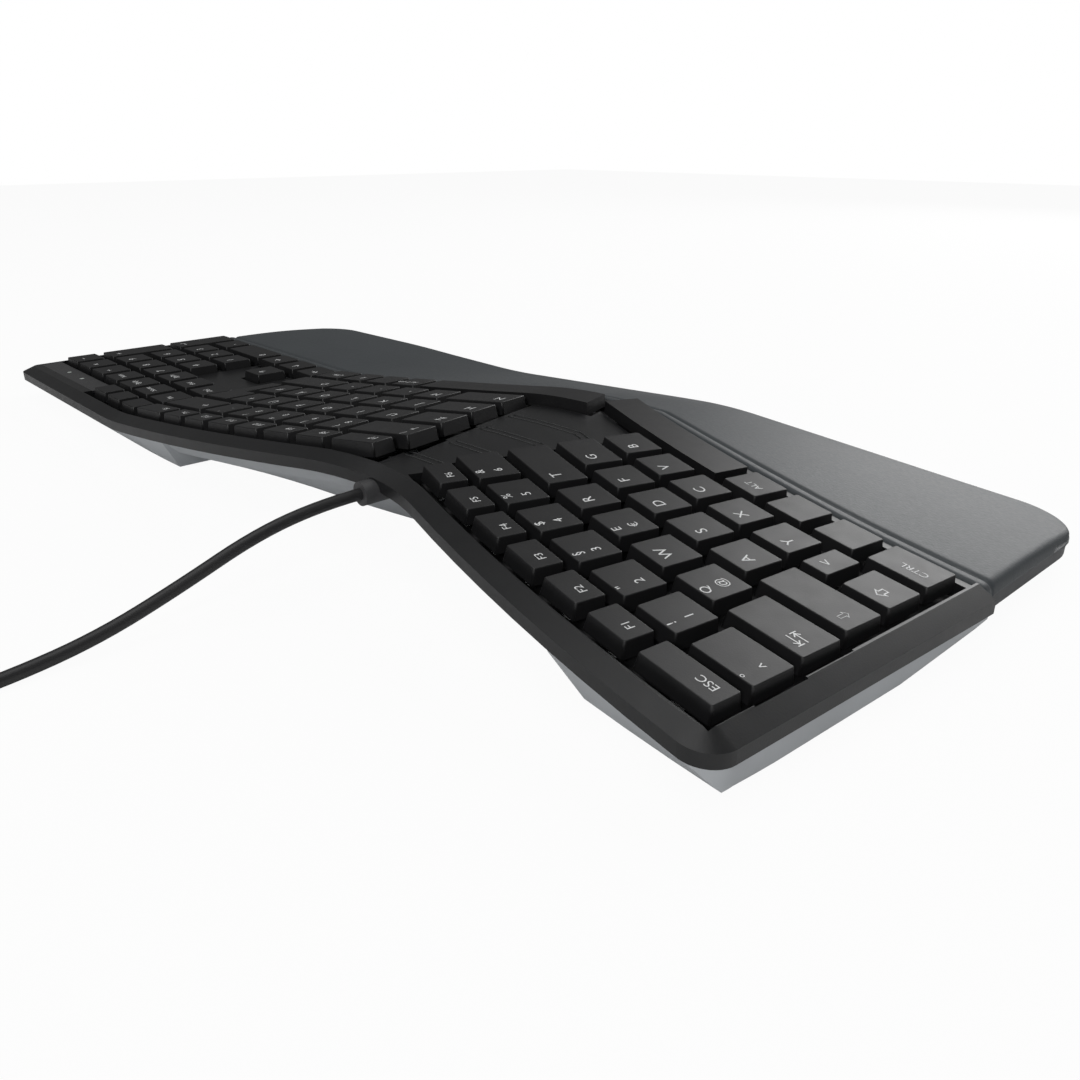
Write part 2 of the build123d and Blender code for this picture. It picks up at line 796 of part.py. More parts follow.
def under_body(thickness):
    """The bottom shell as a full body; a thickness gives the hollow inside its walls."""
    floor = Plane.XY.offset(foot_height + thickness)
    full_spans = [
        (
            left_plane, left_centre, left_edge, left_front,
            (floor_left_x, shoulder_left_x, top_left_x), valley_x,
        ),
        (left_plane, right_centre, right_edge, right_front, (valley_x,) * 3, crest_x),
        (right_plane, right_centre, right_edge, right_front, (crest_x,) * 3, knee_x),
    ]
    block_spans = [
        (
            left_plane, left_centre, left_edge, left_front,
            floor_left_x, left_step_x, top_left_x, left_step_x + step_lean,
        ),
        (
            right_plane, right_centre, right_edge, right_front,
            right_step_x, knee_x, right_step_x - step_lean, knee_x,
        ),
        (flat_plane, None, right_edge, right_front, knee_x, floor_right_x, knee_x, top_right_x),
    ]
    top_drop = band_drop - 1.2 - thickness
    with BuildPart() as body:
        for plane, centre, edge, front, starts, end in full_spans:
            with BuildSketch(floor):
                add(wall_section(floor, starts[0], end, centre, edge - floor_inset - thickness, front))
            middle_plane = plane.offset(thickness - shoulder_drop)
            with BuildSketch(middle_plane):
                inner = edge - shoulder_inset - thickness
                add(wall_section(middle_plane, starts[1], end, centre, inner, front))
            high_plane = plane.offset(-top_drop)
            with BuildSketch(high_plane):
                add(wall_section(high_plane, starts[2], end, centre, edge + shell_overrun - thickness, front))
            loft(ruled=True)
        for plane, centre, edge, front, start, end, high_start, high_end in block_spans:
            block_inset = left_block_inset if plane is left_plane else right_block_inset
            with BuildSketch(floor):
                add(wall_section(floor, start, end, centre, edge - block_inset - thickness, front))
            high_plane = plane.offset(-top_drop)
            with BuildSketch(high_plane):
                inner = edge + shell_overrun - thickness
                add(wall_section(high_plane, high_start, high_end, centre, inner, front))
            loft(ruled=True)
    with BuildPart() as trim:
        with BuildSketch():
            add(outline_face(shell_inset + thickness, shell_inset + thickness))
        extrude(amount=tall)
    with BuildPart() as result:
        add(body.part)
        add(trim.part, mode=Mode.INTERSECT)
    return result.part


outer_body = under_body(0.0)
inner_body = under_body(floor_thickness)

floor_top = foot_height + floor_thickness
board_bottom = floor_top + board_stand
board_posts = [
    (board_x + side * (board_width / 2 - post_inset), board_y + end * (board_depth / 2 - post_inset))
    for side in (-1, 1)
    for end in (-1, 1)
]
with BuildPart() as bosses:
    for field, places in screw_places.items():
        for place in places:
            with Locations(place * Location((0, 0, -deck_drop - deck_thickness))):
                Cylinder(boss_radius, 3 * band_drop, align=(Align.CENTER, Align.CENTER, Align.MAX))
    with Locations((0, 0, foot_height - tall / 2)):
        Box(outline_size, outline_size, tall, mode=Mode.SUBTRACT)

with BuildPart() as bottom_shell:
    add(outer_body)
    add(inner_body, mode=Mode.SUBTRACT)
    add(wave_body(band_drop), mode=Mode.INTERSECT)
    add(bosses.part)
    with Locations(*[(x, y, floor_top + board_stand / 2) for x, y in board_posts]):
        Cylinder(post_radius, board_stand)
    for field, places in screw_places.items():
        for place in places:
            with Locations(place * Location((0, 0, -deck_drop - tall / 2))):
                Cylinder(screw_radius + screw_clearance, tall, mode=Mode.SUBTRACT)
            with Locations(screw_head_seat(place)):
                Cylinder(
                    screw_head_radius + screw_clearance, 3 * screw_head,
                    align=(Align.CENTER, Align.CENTER, Align.MAX), mode=Mode.SUBTRACT,
                )
    add(collar_hole.part, mode=Mode.SUBTRACT)
bottom_shell.part.label = "bottom_shell"
export_step(bottom_shell.part, "parts/bottom_shell.step")

with BuildPart() as housing_screws:
    for field, places in screw_places.items():
        for place in places:
            seat = screw_head_seat(place)
            shank = (place.position - seat.position).length - deck_drop
            with Locations(seat):
                Cylinder(screw_radius, shank, align=(Align.CENTER, Align.CENTER, Align.MIN))
                Cylinder(screw_head_radius, screw_head, align=(Align.CENTER, Align.CENTER, Align.MAX))
housing_screws.part.label = "housing_screws"
export_step(housing_screws.part, "parts/housing_screws.step")

with BuildPart() as circuit_board:
    with Locations((board_x, board_y, board_bottom + board_thickness / 2)):
        Box(board_width, board_depth, board_thickness)
    with Locations((board_x - 9, board_y, board_bottom + board_thickness + 0.8)):
        Box(12.0, 12.0, 1.6)
    with Locations((board_x + 12, board_y + 8, board_bottom + board_thickness + 2.5)):
        Box(10.0, 5.0, 5.0)
circuit_board.part.label = "circuit_board"
export_step(circuit_board.part, "parts/circuit_board.step")

with BuildPart() as cable_collar:
    with Locations(Location((collar_x, collar_end_y, collar_height), (90, 0, 0))):
        Cylinder(collar_radius, collar_length, align=(Align.CENTER, Align.CENTER, Align.MIN))
    with Locations(Location((collar_x, collar_end_y - collar_length, collar_height), (90, 0, 0))):
        Cylinder(collar_radius + collar_flange, collar_flange, align=(Align.CENTER, Align.CENTER, Align.MIN))
cable_collar.part.label = "cable_collar"
export_step(cable_collar.part, "parts/cable_collar.step")

# Palm rest: tray and cushion share one plan and one seam
pad_rear = [(-245.0, 13.5), (-188.0, 20.6), (-66.0, 39.2), (53.0, 22.6), (102.0, 17.0), (245.0, 16.9)]
pad_front = [(-245.0, 11.4), (-188.0, 15.1), (-88.0, 21.9), (53.0, 13.3), (143.0, 14.3), (245.0, 12.9)]
seam_rear = [(-245.0, 9.6), (-188.0, 13.0), (-66.0, 26.0), (53.0, 14.5), (102.0, 10.5), (245.0, 10.2)]
seam_front = [(-245.0, 9.4), (-188.0, 10.6), (-88.0, 13.4), (53.0, 9.6), (143.0, 9.8), (245.0, 9.8)]
pad_plane_rear = -14.0
pad_plane_front = palm_front_y - 2.0


def ruled_body(rear, front, drop):
    """Everything under a surface that runs straight from a rear profile to a front one."""
    with BuildPart() as body:
        for place, points in ((pad_plane_rear, rear), (pad_plane_front, front)):
            with BuildSketch(Plane.XZ.offset(-place)) as face:
                with BuildLine():
                    lowered = [(x, z - drop) for x, z in points]
                    Polyline(*lowered, (points[-1][0], -tall), (points[0][0], -tall), close=True)
                make_face()
                for x, radius in ((points[2][0], pad_crest_radius), (points[3][0], pad_dip_radius)):
                    fillet([v for v in face.vertices() if abs(v.X - x) < 0.1 and v.Y > -30], radius)
        loft(ruled=True)
    return body.part


def palm_face(inset):
    """Plan of the palm rest, drawn in all round."""
    front = 2 * pitch + cap_width / 2 + front_margin + palm_gap + inset
    with BuildSketch() as plan:
        with Locations(left_centre):
            Circle(left_home_radius - front)
        with Locations(right_centre):
            Circle(right_home_radius - front)
        flat_x = right_centre[0] + outline_size / 4
        flat_rear = right_centre[1] + right_home_radius - front
        with Locations((flat_x, flat_rear - outline_size / 4)):
            Rectangle(outline_size / 2, outline_size / 2)
        with BuildSketch(mode=Mode.INTERSECT):
            with Locations(((palm_left_x + palm_right_x) / 2, palm_front_y + inset + outline_size / 2)):
                Rectangle(palm_right_x - palm_left_x - 2 * inset, outline_size)
        corners = [v for v in plan.vertices() if v.Y < palm_front_y + inset + 1]
        fillet(corners, palm_corner - inset)
    return plan.sketch


with BuildPart() as palm_base:
    with BuildSketch(Plane.XY.offset(palm_bottom)):
        add(palm_face(tray_inset))
    extrude(amount=tall)
    add(ruled_body(seam_rear, seam_front, pad_seam), mode=Mode.INTERSECT)
    with BuildPart(mode=Mode.SUBTRACT):
        with BuildSketch():
            add(palm_face(tray_inset + tray_skin))
        extrude(amount=tall)
        add(ruled_body(seam_rear, seam_front, pad_seam + tray_skin), mode=Mode.INTERSECT)
    with BuildPart():
        for x, y in palm_feet:
            with Locations((x, y, foot_height)):
                Cylinder(foot_radius, tall, align=(Align.CENTER, Align.CENTER, Align.MIN))
        add(ruled_body(seam_rear, seam_front, pad_seam + tray_skin / 2), mode=Mode.INTERSECT)
palm_base.part.label = "palm_base"
export_step(palm_base.part, "parts/palm_base.step")

def wave_floor(x):
    points = seam_rear
    for (x0, z0), (x1, z1) in zip(points, points[1:]):
        if x0 <= x <= x1:
            return z0 + (z1 - z0) * (x - x0) / (x1 - x0) - 1.0 + 2.5 * (abs(x) > 150)
    return 10


with BuildPart() as palm_pad:
    with BuildSketch():
        add(palm_face(0.0))
    extrude(amount=tall)
    add(ruled_body(pad_rear, pad_front, 0.0), mode=Mode.INTERSECT)
    add(ruled_body(seam_rear, seam_front, 0.0), mode=Mode.SUBTRACT)
    tops = [
        e for e in palm_pad.edges()
        if e.center().Z > wave_floor(e.center().X)
        and not (abs(e.center().X) < 225 and abs((e % 0.5).Y) > 0.8)
    ]
    fillet(tops, pad_edge)
palm_pad.part.label = "palm_pad"
export_step(palm_pad.part, "parts/palm_pad.step")

with BuildPart() as rubber_feet:
    with Locations(*[(x, y, foot_height / 2) for x, y in palm_feet + shell_feet]):
        Cylinder(foot_radius - 0.5, foot_height)
rubber_feet.part.label = "rubber_feet"
export_step(rubber_feet.part, "parts/rubber_feet.step")

# Cable: points chosen by hand, every corner an arc as large as its runs allow
cable_points = [
    (collar_x, collar_end_y, collar_height), (collar_x, 99.0, collar_height), (-79.2, 121.5, 21.9),
    (-78.2, 146.0, 12.4), (-77.8, 170.0, 4.7), (-79.0, 194.0, 2.1),
    (-80.0, 219.0, 2.05), (-80.0, 238.0, 2.05),
]


def corner_radii(points):
    """The radius at each corner, from the shorter run beside it and the turn."""
    radii = []
    for before, corner, after in zip(points, points[1:], points[2:]):
        run_in = Vector(corner) - Vector(before)
        run_out = Vector(after) - Vector(corner)
        turn = radians(run_in.get_angle(run_out))
        radii.append(0.45 * min(run_in.length, run_out.length) / tan(turn / 2))
    return radii


def cord_tube(points):
    """A round tube along straight runs and tangent arcs."""
    radii = corner_radii(points)
    print("cord radii", [round(radius) for radius in radii])
    with BuildPart() as tube:
        with BuildLine() as path:
            FilletPolyline(*points, radius=radii)
        with BuildSketch(Plane(path.line @ 0, z_dir=path.line % 0)):
            Circle(cable_radius)
        sweep()
    run = sum(edge.length for edge in path.edges())
    print("cord volume", round(tube.part.volume / (pi * cable_radius**2 * run), 5))
    return tube.part


cable = cord_tube(cable_points)
cable.label = "cable_free"
export_step(cable, "parts/cable_free.step")

# Coil: half turns that spiral in on the lower layer, climb, and spiral out on the upper one
half_step = coil_step / 2
coil_outer_radius = coil_inner_radius + 2 * coil_turns * half_step
inward = [coil_outer_radius - half_step * number for number in range(2 * coil_turns)]
coil_radii = inward + [coil_inner_radius] + inward[::-1] + [coil_outer_radius + half_step]
coil_start = Vector(cable_points[-1])
half_turns = []
here = coil_start + Vector(0, 2 * cable_radius, 0)
side = 1
for number, radius in enumerate(coil_radii):
    climb = coil_step if number == 2 * coil_turns else 0.0
    there = here + Vector(side * 2 * radius, 0, climb)
    bulge = Vector(0, side * hypot(2 * radius, climb) / 2, 0)
    half_turns.append((here, (here + there) * 0.5 + bulge, there))
    here = there
    side = -side
coil_end = here + Vector(0, side * 2 * cable_radius, 0)

with BuildPart() as cable_coil:
    with BuildLine() as coil_path:
        Line(coil_start, half_turns[0][0])
        for half_turn in half_turns:
            ThreePointArc(*half_turn)
        Line(here, coil_end)
    with BuildSketch(Plane(coil_start, z_dir=(0, 1, 0))):
        Circle(cable_radius)
    sweep()
coil_length = sum(edge.length for edge in coil_path.edges())
print("coil volume", round(cable_coil.part.volume / (pi * cable_radius**2 * coil_length), 5))

# Least gap of the coil to itself, on points along it that are more than a few diameters apart
samples = []
for edge in coil_path.edges():
    count = max(2, int(edge.length / 2))
    samples += [edge @ (step / count) for step in range(count)]
least = min(
    (first - second).length
    for number, first in enumerate(samples)
    for second in samples[number + 8:]
)
print("coil self gap", round(least - 2 * cable_radius, 2))
cable_coil.part.label = "cable_coil"
export_step(cable_coil.part, "parts/cable_coil.step")

tail_points = [
    (coil_end.X + x, coil_end.Y + y, coil_end.Z + z)
    for x, y, z in (
        (0.0, 0.0, 0.0), (0.0, 17.0, 0.0), (5.0, 38.0, -3.4),
        (20.0, 56.0, -4.5), (43.0, 64.0, -2.55), (63.0, 64.0, -2.55),
    )
]
tail = cord_tube(tail_points)
tail.label = "cable_tail"
export_step(tail, "parts/cable_tail.step")

plug_start = Location(tail_points[-1], (0, 90, 0))
with BuildPart() as plug_body:
    with Locations(plug_start):
        Cylinder(relief_radius, relief_length, align=(Align.CENTER, Align.CENTER, Align.MIN))
    with Locations(plug_start * Location((0, 0, relief_length))):
        Box(plug_height, plug_width, plug_length, align=(Align.CENTER, Align.CENTER, Align.MIN))
    fillet(plug_body.edges().filter_by(Axis.X), plug_round)
plug_body.part.label = "plug_body"
export_step(plug_body.part, "parts/plug_body.step")

with BuildPart() as plug_shell:
    with Locations(plug_start * Location((0, 0, relief_length + plug_length))):
        Box(contact_height, contact_width, contact_length, align=(Align.CENTER, Align.CENTER, Align.MIN))
    with Locations(plug_start * Location((-contact_height / 4, 0, relief_length + plug_length + 2))):
        Box(
            contact_height / 3, contact_width - 1.2, contact_length, mode=Mode.SUBTRACT,
            align=(Align.CENTER, Align.CENTER, Align.MIN),
        )
plug_shell.part.label = "plug_shell"
export_step(plug_shell.part, "parts/plug_shell.step")
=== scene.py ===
from dataclasses import dataclass
from enum import Enum, IntEnum
import logging
import math

import bmesh
import bpy
from mathutils import Matrix, Vector


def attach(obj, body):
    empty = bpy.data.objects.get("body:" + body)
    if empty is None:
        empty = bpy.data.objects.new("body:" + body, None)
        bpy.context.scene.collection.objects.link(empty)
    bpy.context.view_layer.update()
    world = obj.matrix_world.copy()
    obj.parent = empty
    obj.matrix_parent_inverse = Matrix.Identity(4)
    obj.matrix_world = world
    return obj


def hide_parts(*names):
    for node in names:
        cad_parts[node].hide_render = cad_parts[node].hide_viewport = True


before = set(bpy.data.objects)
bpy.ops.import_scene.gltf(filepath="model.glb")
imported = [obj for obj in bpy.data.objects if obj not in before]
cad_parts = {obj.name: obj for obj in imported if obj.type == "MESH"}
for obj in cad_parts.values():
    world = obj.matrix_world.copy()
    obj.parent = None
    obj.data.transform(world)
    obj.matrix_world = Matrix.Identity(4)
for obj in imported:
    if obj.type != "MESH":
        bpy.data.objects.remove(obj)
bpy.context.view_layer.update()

# Sizes of the keyboard are in mm and become metres where a mesh is made.
# Shader scales are in cells per metre, shader depths and the studio's sizes in metres.
MM = 0.001
Triple = tuple[float, float, float]
Corners = tuple[tuple[float, float], ...]
logging.basicConfig(level=logging.INFO, format="%(message)s")
log = logging.getLogger("keyboard")


class Value:
    """One shader socket that does its own maths through Math nodes."""

    def __init__(self, shader: "Shader", socket: bpy.types.NodeSocket) -> None:
        """Keep the socket and the shader that it belongs to."""
        self.shader = shader
        self.socket = socket

    def _math(self, operation: str, other: "Value | float") -> "Value":
        """Add a Math node.

        Args:
            operation: Blender's name of the operation.
            other: the second operand.

        Returns:
            The result as a new Value.
        """
        return self.shader.node("ShaderNodeMath", {"operation": operation}, {0: self, 1: other})

    def __add__(self, other: "Value | float") -> "Value":
        """Add."""
        return self._math("ADD", other)

    __radd__ = __add__

    def __mul__(self, other: "Value | float") -> "Value":
        """Multiply."""
        return self._math("MULTIPLY", other)

    __rmul__ = __mul__


class Shader:
    """Builds one node material."""

    def __init__(self, name: str) -> None:
        """Start an empty material with a Principled shader.

        Args:
            name: the material's name.
        """
        self.material = bpy.data.materials.new(name)
        self.material.use_nodes = True
        self.tree = self.material.node_tree
        self.tree.nodes.clear()
        self.output = self.tree.nodes.new("ShaderNodeOutputMaterial")
        self.bsdf = self.tree.nodes.new("ShaderNodeBsdfPrincipled")
        self.tree.links.new(self.bsdf.outputs[0], self.output.inputs[0])

    def connect(self, target: bpy.types.NodeSocket, value: object) -> None:
        """Link a Value to an input, or set the input to a number or colour.

        Args:
            target: the input.
            value: what it gets.
        """
        if isinstance(value, Value):
            self.tree.links.new(value.socket, target)
        else:
            target.default_value = value

    def node(self, kind: str, settings: dict, sockets: dict, output: int | str = 0) -> Value:
        """Add any node.

        Args:
            kind: the node's type name.
            settings: its attributes, with a ramp's two stops under "stops".
            sockets: values or Values for its inputs.
            output: which output to return.

        Returns:
            The chosen output.
        """
        made = self.tree.nodes.new(kind)
        for name, value in settings.items():
            if name == "stops":
                for element, (place, colour) in zip(made.color_ramp.elements, value):
                    element.position = place
                    element.color = colour
            else:
                setattr(made, name, value)
        for name, value in sockets.items():
            self.connect(made.inputs[name], value)
        return Value(self, made.outputs[output])

    def place(self) -> Value:
        """The point on the object, in metres."""
        return self.node("ShaderNodeTexCoord", {}, {}, "Object")

    def noise(self, scale: float, detail: float = 3.0, roughness: float = 0.5) -> Value:
        """Noise over the object.

        Args:
            scale: how fine it is.
            detail: octaves.
            roughness: how strong the fine octaves are.

        Returns:
            The noise, from 0 to 1.
        """
        sockets = {"Vector": self.place(), "Scale": scale, "Detail": detail, "Roughness": roughness}
        return self.node("ShaderNodeTexNoise", {}, sockets, "Fac")

    def ramp(self, factor: Value, low: Triple, high: Triple, start: float = 0.3, end: float = 0.7) -> Value:
        """Blend two colours by a factor.

        Args:
            factor: what steers the blend.
            low: colour at and under start.
            high: colour at and over end.
            start: where the blend starts.
            end: where it ends.

        Returns:
            The colour.
        """
        stops = [(start, (*low, 1.0)), (end, (*high, 1.0))]
        return self.node("ShaderNodeValToRGB", {"stops": stops}, {"Fac": factor}, "Color")

    def feed(self, name: str, value: object) -> None:
        """Set or link one input of the main shader."""
        self.connect(self.bsdf.inputs[name], value)

    def mottle(self, colour: Triple, variation: float, scale: float, detail: float) -> None:
        """Feed a colour that varies softly over the object.

        Args:
            colour: its middle.
            variation: how far it strays, as a share of the colour.
            scale: how fine the patches are.
            detail: octaves of the patches.
        """
        low = tuple(c * (1 - variation) for c in colour)
        high = tuple(min(1.0, c * (1 + variation)) for c in colour)
        self.feed("Base Color", self.ramp(self.noise(scale, detail), low, high))

    def sheen(self, roughness: float, spread: float, scale: float) -> None:
        """Feed a roughness that varies softly over the object.

        Args:
            roughness: its middle.
            spread: from the smoothest place to the roughest.
            scale: how fine the patches are.
        """
        self.feed("Roughness", self.noise(scale) * spread + (roughness - spread / 2))

    def bump(self, height: Value, strength: float, distance: float) -> None:
        """Feed a height to the normal.

        Args:
            height: the height map.
            strength: how much of it shows, 0 to 1.
            distance: its full depth.
        """
        sockets = {"Height": height, "Strength": strength, "Distance": distance}
        self.feed("Normal", self.node("ShaderNodeBump", {}, sockets, "Normal"))


@dataclass(frozen=True)
class Moulding:
    """A moulded plastic, rubber or metal finish with a fine grain."""

    name: str
    colour: Triple
    roughness: float = 0.5
    grain: float = 2600.0
    depth: float = 0.00003
    variation: float = 0.12
    coat: float = 0.0
    metallic: float = 0.0
    specular: float = 0.5
    patches: float = 45.0
    sheen_spread: float = 0.12
    sheen_scale: float = 160.0
    strength: float = 0.5

    def build(self) -> bpy.types.Material:
        """Make the material.

        Returns:
            The new material.
        """
        shader = Shader(self.name)
        shader.mottle(self.colour, self.variation, self.patches, detail=4.0)
        shader.sheen(self.roughness, self.sheen_spread, self.sheen_scale)
        shader.feed("Metallic", self.metallic)
        shader.feed("Specular IOR Level", self.specular)
        shader.feed("Coat Weight", self.coat)
        shader.bump(shader.noise(self.grain, detail=2.0, roughness=0.6), self.strength, self.depth)
        return shader.material


@dataclass(frozen=True)
class Leatherette:
    """Grained soft covering with pebbles and fine creases."""

    name: str
    colour: Triple
    roughness: float = 0.50
    variation: float = 0.05
    specular: float = 0.45
    patches: float = 38.0
    sheen_spread: float = 0.14
    sheen_scale: float = 700.0
    pebbles: float = 1150.0
    pebble_softness: float = 0.4
    pebble_share: float = 0.8
    creases: float = 520.0
    crease_share: float = 0.6
    strength: float = 0.6
    depth: float = 0.00007

    def build(self) -> bpy.types.Material:
        """Make the material.

        Returns:
            The new material.
        """
        shader = Shader(self.name)
        shader.mottle(self.colour, self.variation, self.patches, detail=5.0)
        sockets = {"Vector": shader.place(), "Scale": self.pebbles, "Smoothness": self.pebble_softness}
        cells = shader.node("ShaderNodeTexVoronoi", {"feature": "SMOOTH_F1"}, sockets, "Distance")
        creases = shader.noise(self.creases, detail=4.0, roughness=0.6)
        shader.sheen(self.roughness, self.sheen_spread, self.sheen_scale)
        shader.feed("Specular IOR Level", self.specular)
        shader.bump(cells * self.pebble_share + creases * self.crease_share, self.strength, self.depth)
        return shader.material


class Finish(Enum):
    """Every finish of the keyboard."""

    KEYCAP = Moulding("keycap_plastic", (0.0095, 0.0095, 0.0102), 0.44, 1900.0, 0.00004)
    HOUSING = Moulding("housing_plastic", (0.0095, 0.0098, 0.0105), 0.36, 1600.0, 0.00004)
    # The ribs' colour is lighter than the housing's: a painted highlight along each rib.
    RIB_HIGHLIGHT = Moulding("rib_painted_highlight", (0.022, 0.0225, 0.0235), 0.25)
    SHELL = Moulding("shell_plastic", (0.46, 0.48, 0.50), 0.42, 1500.0, 0.00004, 0.05)
    TRAY = Moulding("tray_plastic", (0.055, 0.058, 0.062), 0.5)
    PANEL = Moulding("panel_plastic", (0.018, 0.018, 0.020), 0.28, 900.0, 0.00001, coat=0.3)
    LAMP = Moulding("lamp_lens", (0.55, 0.60, 0.56), 0.2, 900.0, 0.00001)
    PLATE = Moulding("key_plate_plastic", (0.016, 0.016, 0.017), 0.6)
    DOME = Moulding("dome_silicone", (0.55, 0.57, 0.57), 0.4)
    FILM = Moulding("contact_film", (0.62, 0.64, 0.61), 0.25)
    STEEL = Moulding("plain_steel", (0.55, 0.56, 0.57), 0.32, 1200.0, 0.00001, 0.05, metallic=1.0)
    BOARD = Moulding("board_laminate", (0.03, 0.16, 0.06), 0.38)
    FOOT = Moulding("foot_rubber", (0.022, 0.022, 0.022), 0.75)
    COLLAR = Moulding("collar_rubber", (0.05, 0.05, 0.052), 0.55)
    CABLE = Moulding("cable_sheath", (0.018, 0.018, 0.019), 0.42, 900.0, 0.00002)
    LEGEND = Moulding("legend_ink", (0.78, 0.79, 0.79), 0.5, 900.0, 0.00001, 0.03)
    PAD = Leatherette("pad_leatherette", (0.054, 0.061, 0.066))


def added(name: str, data: bpy.types.ID) -> bpy.types.Object:
    """Put new data into the scene.

    Args:
        name: the object's name.
        data: its mesh, curve, light or camera.

    Returns:
        The new object.
    """
    made = bpy.data.objects.new(name, data)
    bpy.context.scene.collection.objects.link(made)
    return made


def pour(source: bmesh.types.BMesh, target: bmesh.types.BMesh) -> None:
    """Add one shape to another.

    Args:
        source: what is added, freed here.
        target: where it goes.
    """
    holder = bpy.data.meshes.new("holder")
    source.to_mesh(holder)
    source.free()
    target.from_mesh(holder)
    bpy.data.meshes.remove(holder)


def soften(mesh: bmesh.types.BMesh, edges: list, radius: float, segments: int) -> None:
    """Round some edges.

    Args:
        mesh: the shape that they belong to, in metres.
        edges: the edges.
        radius: how far in the rounding starts, in mm.
        segments: its steps.
    """
    bmesh.ops.bevel(
        mesh, geom=edges, offset=radius * MM, segments=segments, profile=0.5, affect="EDGES", material=-1,
    )


def round_drop(radius: float, into: float) -> float:
    """How far a rounded edge lies under the full height.

    Args:
        radius: the edge's radius.
        into: how far in from the edge's end.

    Returns:
        The drop, which is the radius at the end itself and 0 past the rounding.
    """
    if into >= radius:
        return 0.0
    return radius - math.sqrt(max(0.0, radius**2 - (radius - into) ** 2))


class Workshop:
    """Makes each finish once and hands out finished pieces."""

    # Faces larger than this are shaded flat, in square metres.
    flat_over: float = 0.00001

    def __init__(self) -> None:
        """Start with no material made."""
        self.made: dict[Finish, bpy.types.Material] = {}

    def material(self, finish: Finish) -> bpy.types.Material:
        """Find a finish's material, which is made on first use.

        Args:
            finish: the finish.

        Returns:
            Its material.
        """
        if finish not in self.made:
            self.made[finish] = finish.value.build()
        return self.made[finish]

    def dress(self, node: str, finish: Finish) -> None:
        """Give one carried-over node its finish.

        Args:
            node: the node's name.
            finish: its finish.
        """
        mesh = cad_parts[node].data
        mesh.materials.clear()
        mesh.materials.append(self.material(finish))
        log.info("dressed %s", node)

    def piece(self, name: str, mesh: bmesh.types.BMesh, finish: Finish, body: str) -> bpy.types.Object:
        """Turn a bmesh into a piece that rides on a body.

        Args:
            name: the piece's name.
            mesh: its shape in metres, freed here.
            finish: its finish.
            body: the body that carries it.

        Returns:
            The new object.
        """
        data = bpy.data.meshes.new(name)
        mesh.to_mesh(data)
        mesh.free()
        for polygon in data.polygons:
            polygon.use_smooth = polygon.area < self.flat_over
        data.materials.append(self.material(finish))
        made = added(name, data)
        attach(made, body)
        log.info("piece %s: %d faces", name, len(data.polygons))
        return made


@dataclass(frozen=True)
class Field:
    """One plane of keys: where its fan centre lies and how it is tilted."""

    centre: Triple
    tilt: float
    home_radius: float

    def matrix(self) -> Matrix:
        """From the field's own plane to the frame, in metres."""
        turn = Matrix.Rotation(-math.radians(self.tilt), 4, "Y")
        return Matrix.Translation(Vector(self.centre) * MM) @ turn

    def arc_x(self, radius: float, along: float) -> float:
        """X of the point that lies this far along an arc about the fan centre."""
        return self.centre[0] + radius * math.sin(along / radius)

    def arc_y(self, radius: float, x: float) -> float:
        """Y of an arc about the fan centre at X."""
        return self.centre[1] + math.sqrt(radius**2 - (x - self.centre[0]) ** 2)


LEFT = Field((-276.6, -623.0, 12.9), 6.49, 657.5)
RIGHT = Field((97.8, -673.7, 20.28), -5.96, 706.4)
FLAT = Field((0.0, 0.0, 19.8), 0.0, 0.0)


class Line(IntEnum):
    """The rows of keys, counted from the typist."""

    SPACE = 0
    LOWER = 1
    HOME = 2
    UPPER = 3
    DIGITS = 4
    FUNCTION = 5


@dataclass(frozen=True)
class Run:
    """Neighbouring caps of one row: the group that they move with, their place, widths and legends."""

    group: str
    plane: Field
    line: Line
    start: float
    widths: list[float]
    legends: list[str]


@dataclass(frozen=True)
class Spot:
    """One cap: its group, the middle of its top, its size and its legend."""

    group: str
    place: Matrix
    width: float
    depth: float
    legend: str


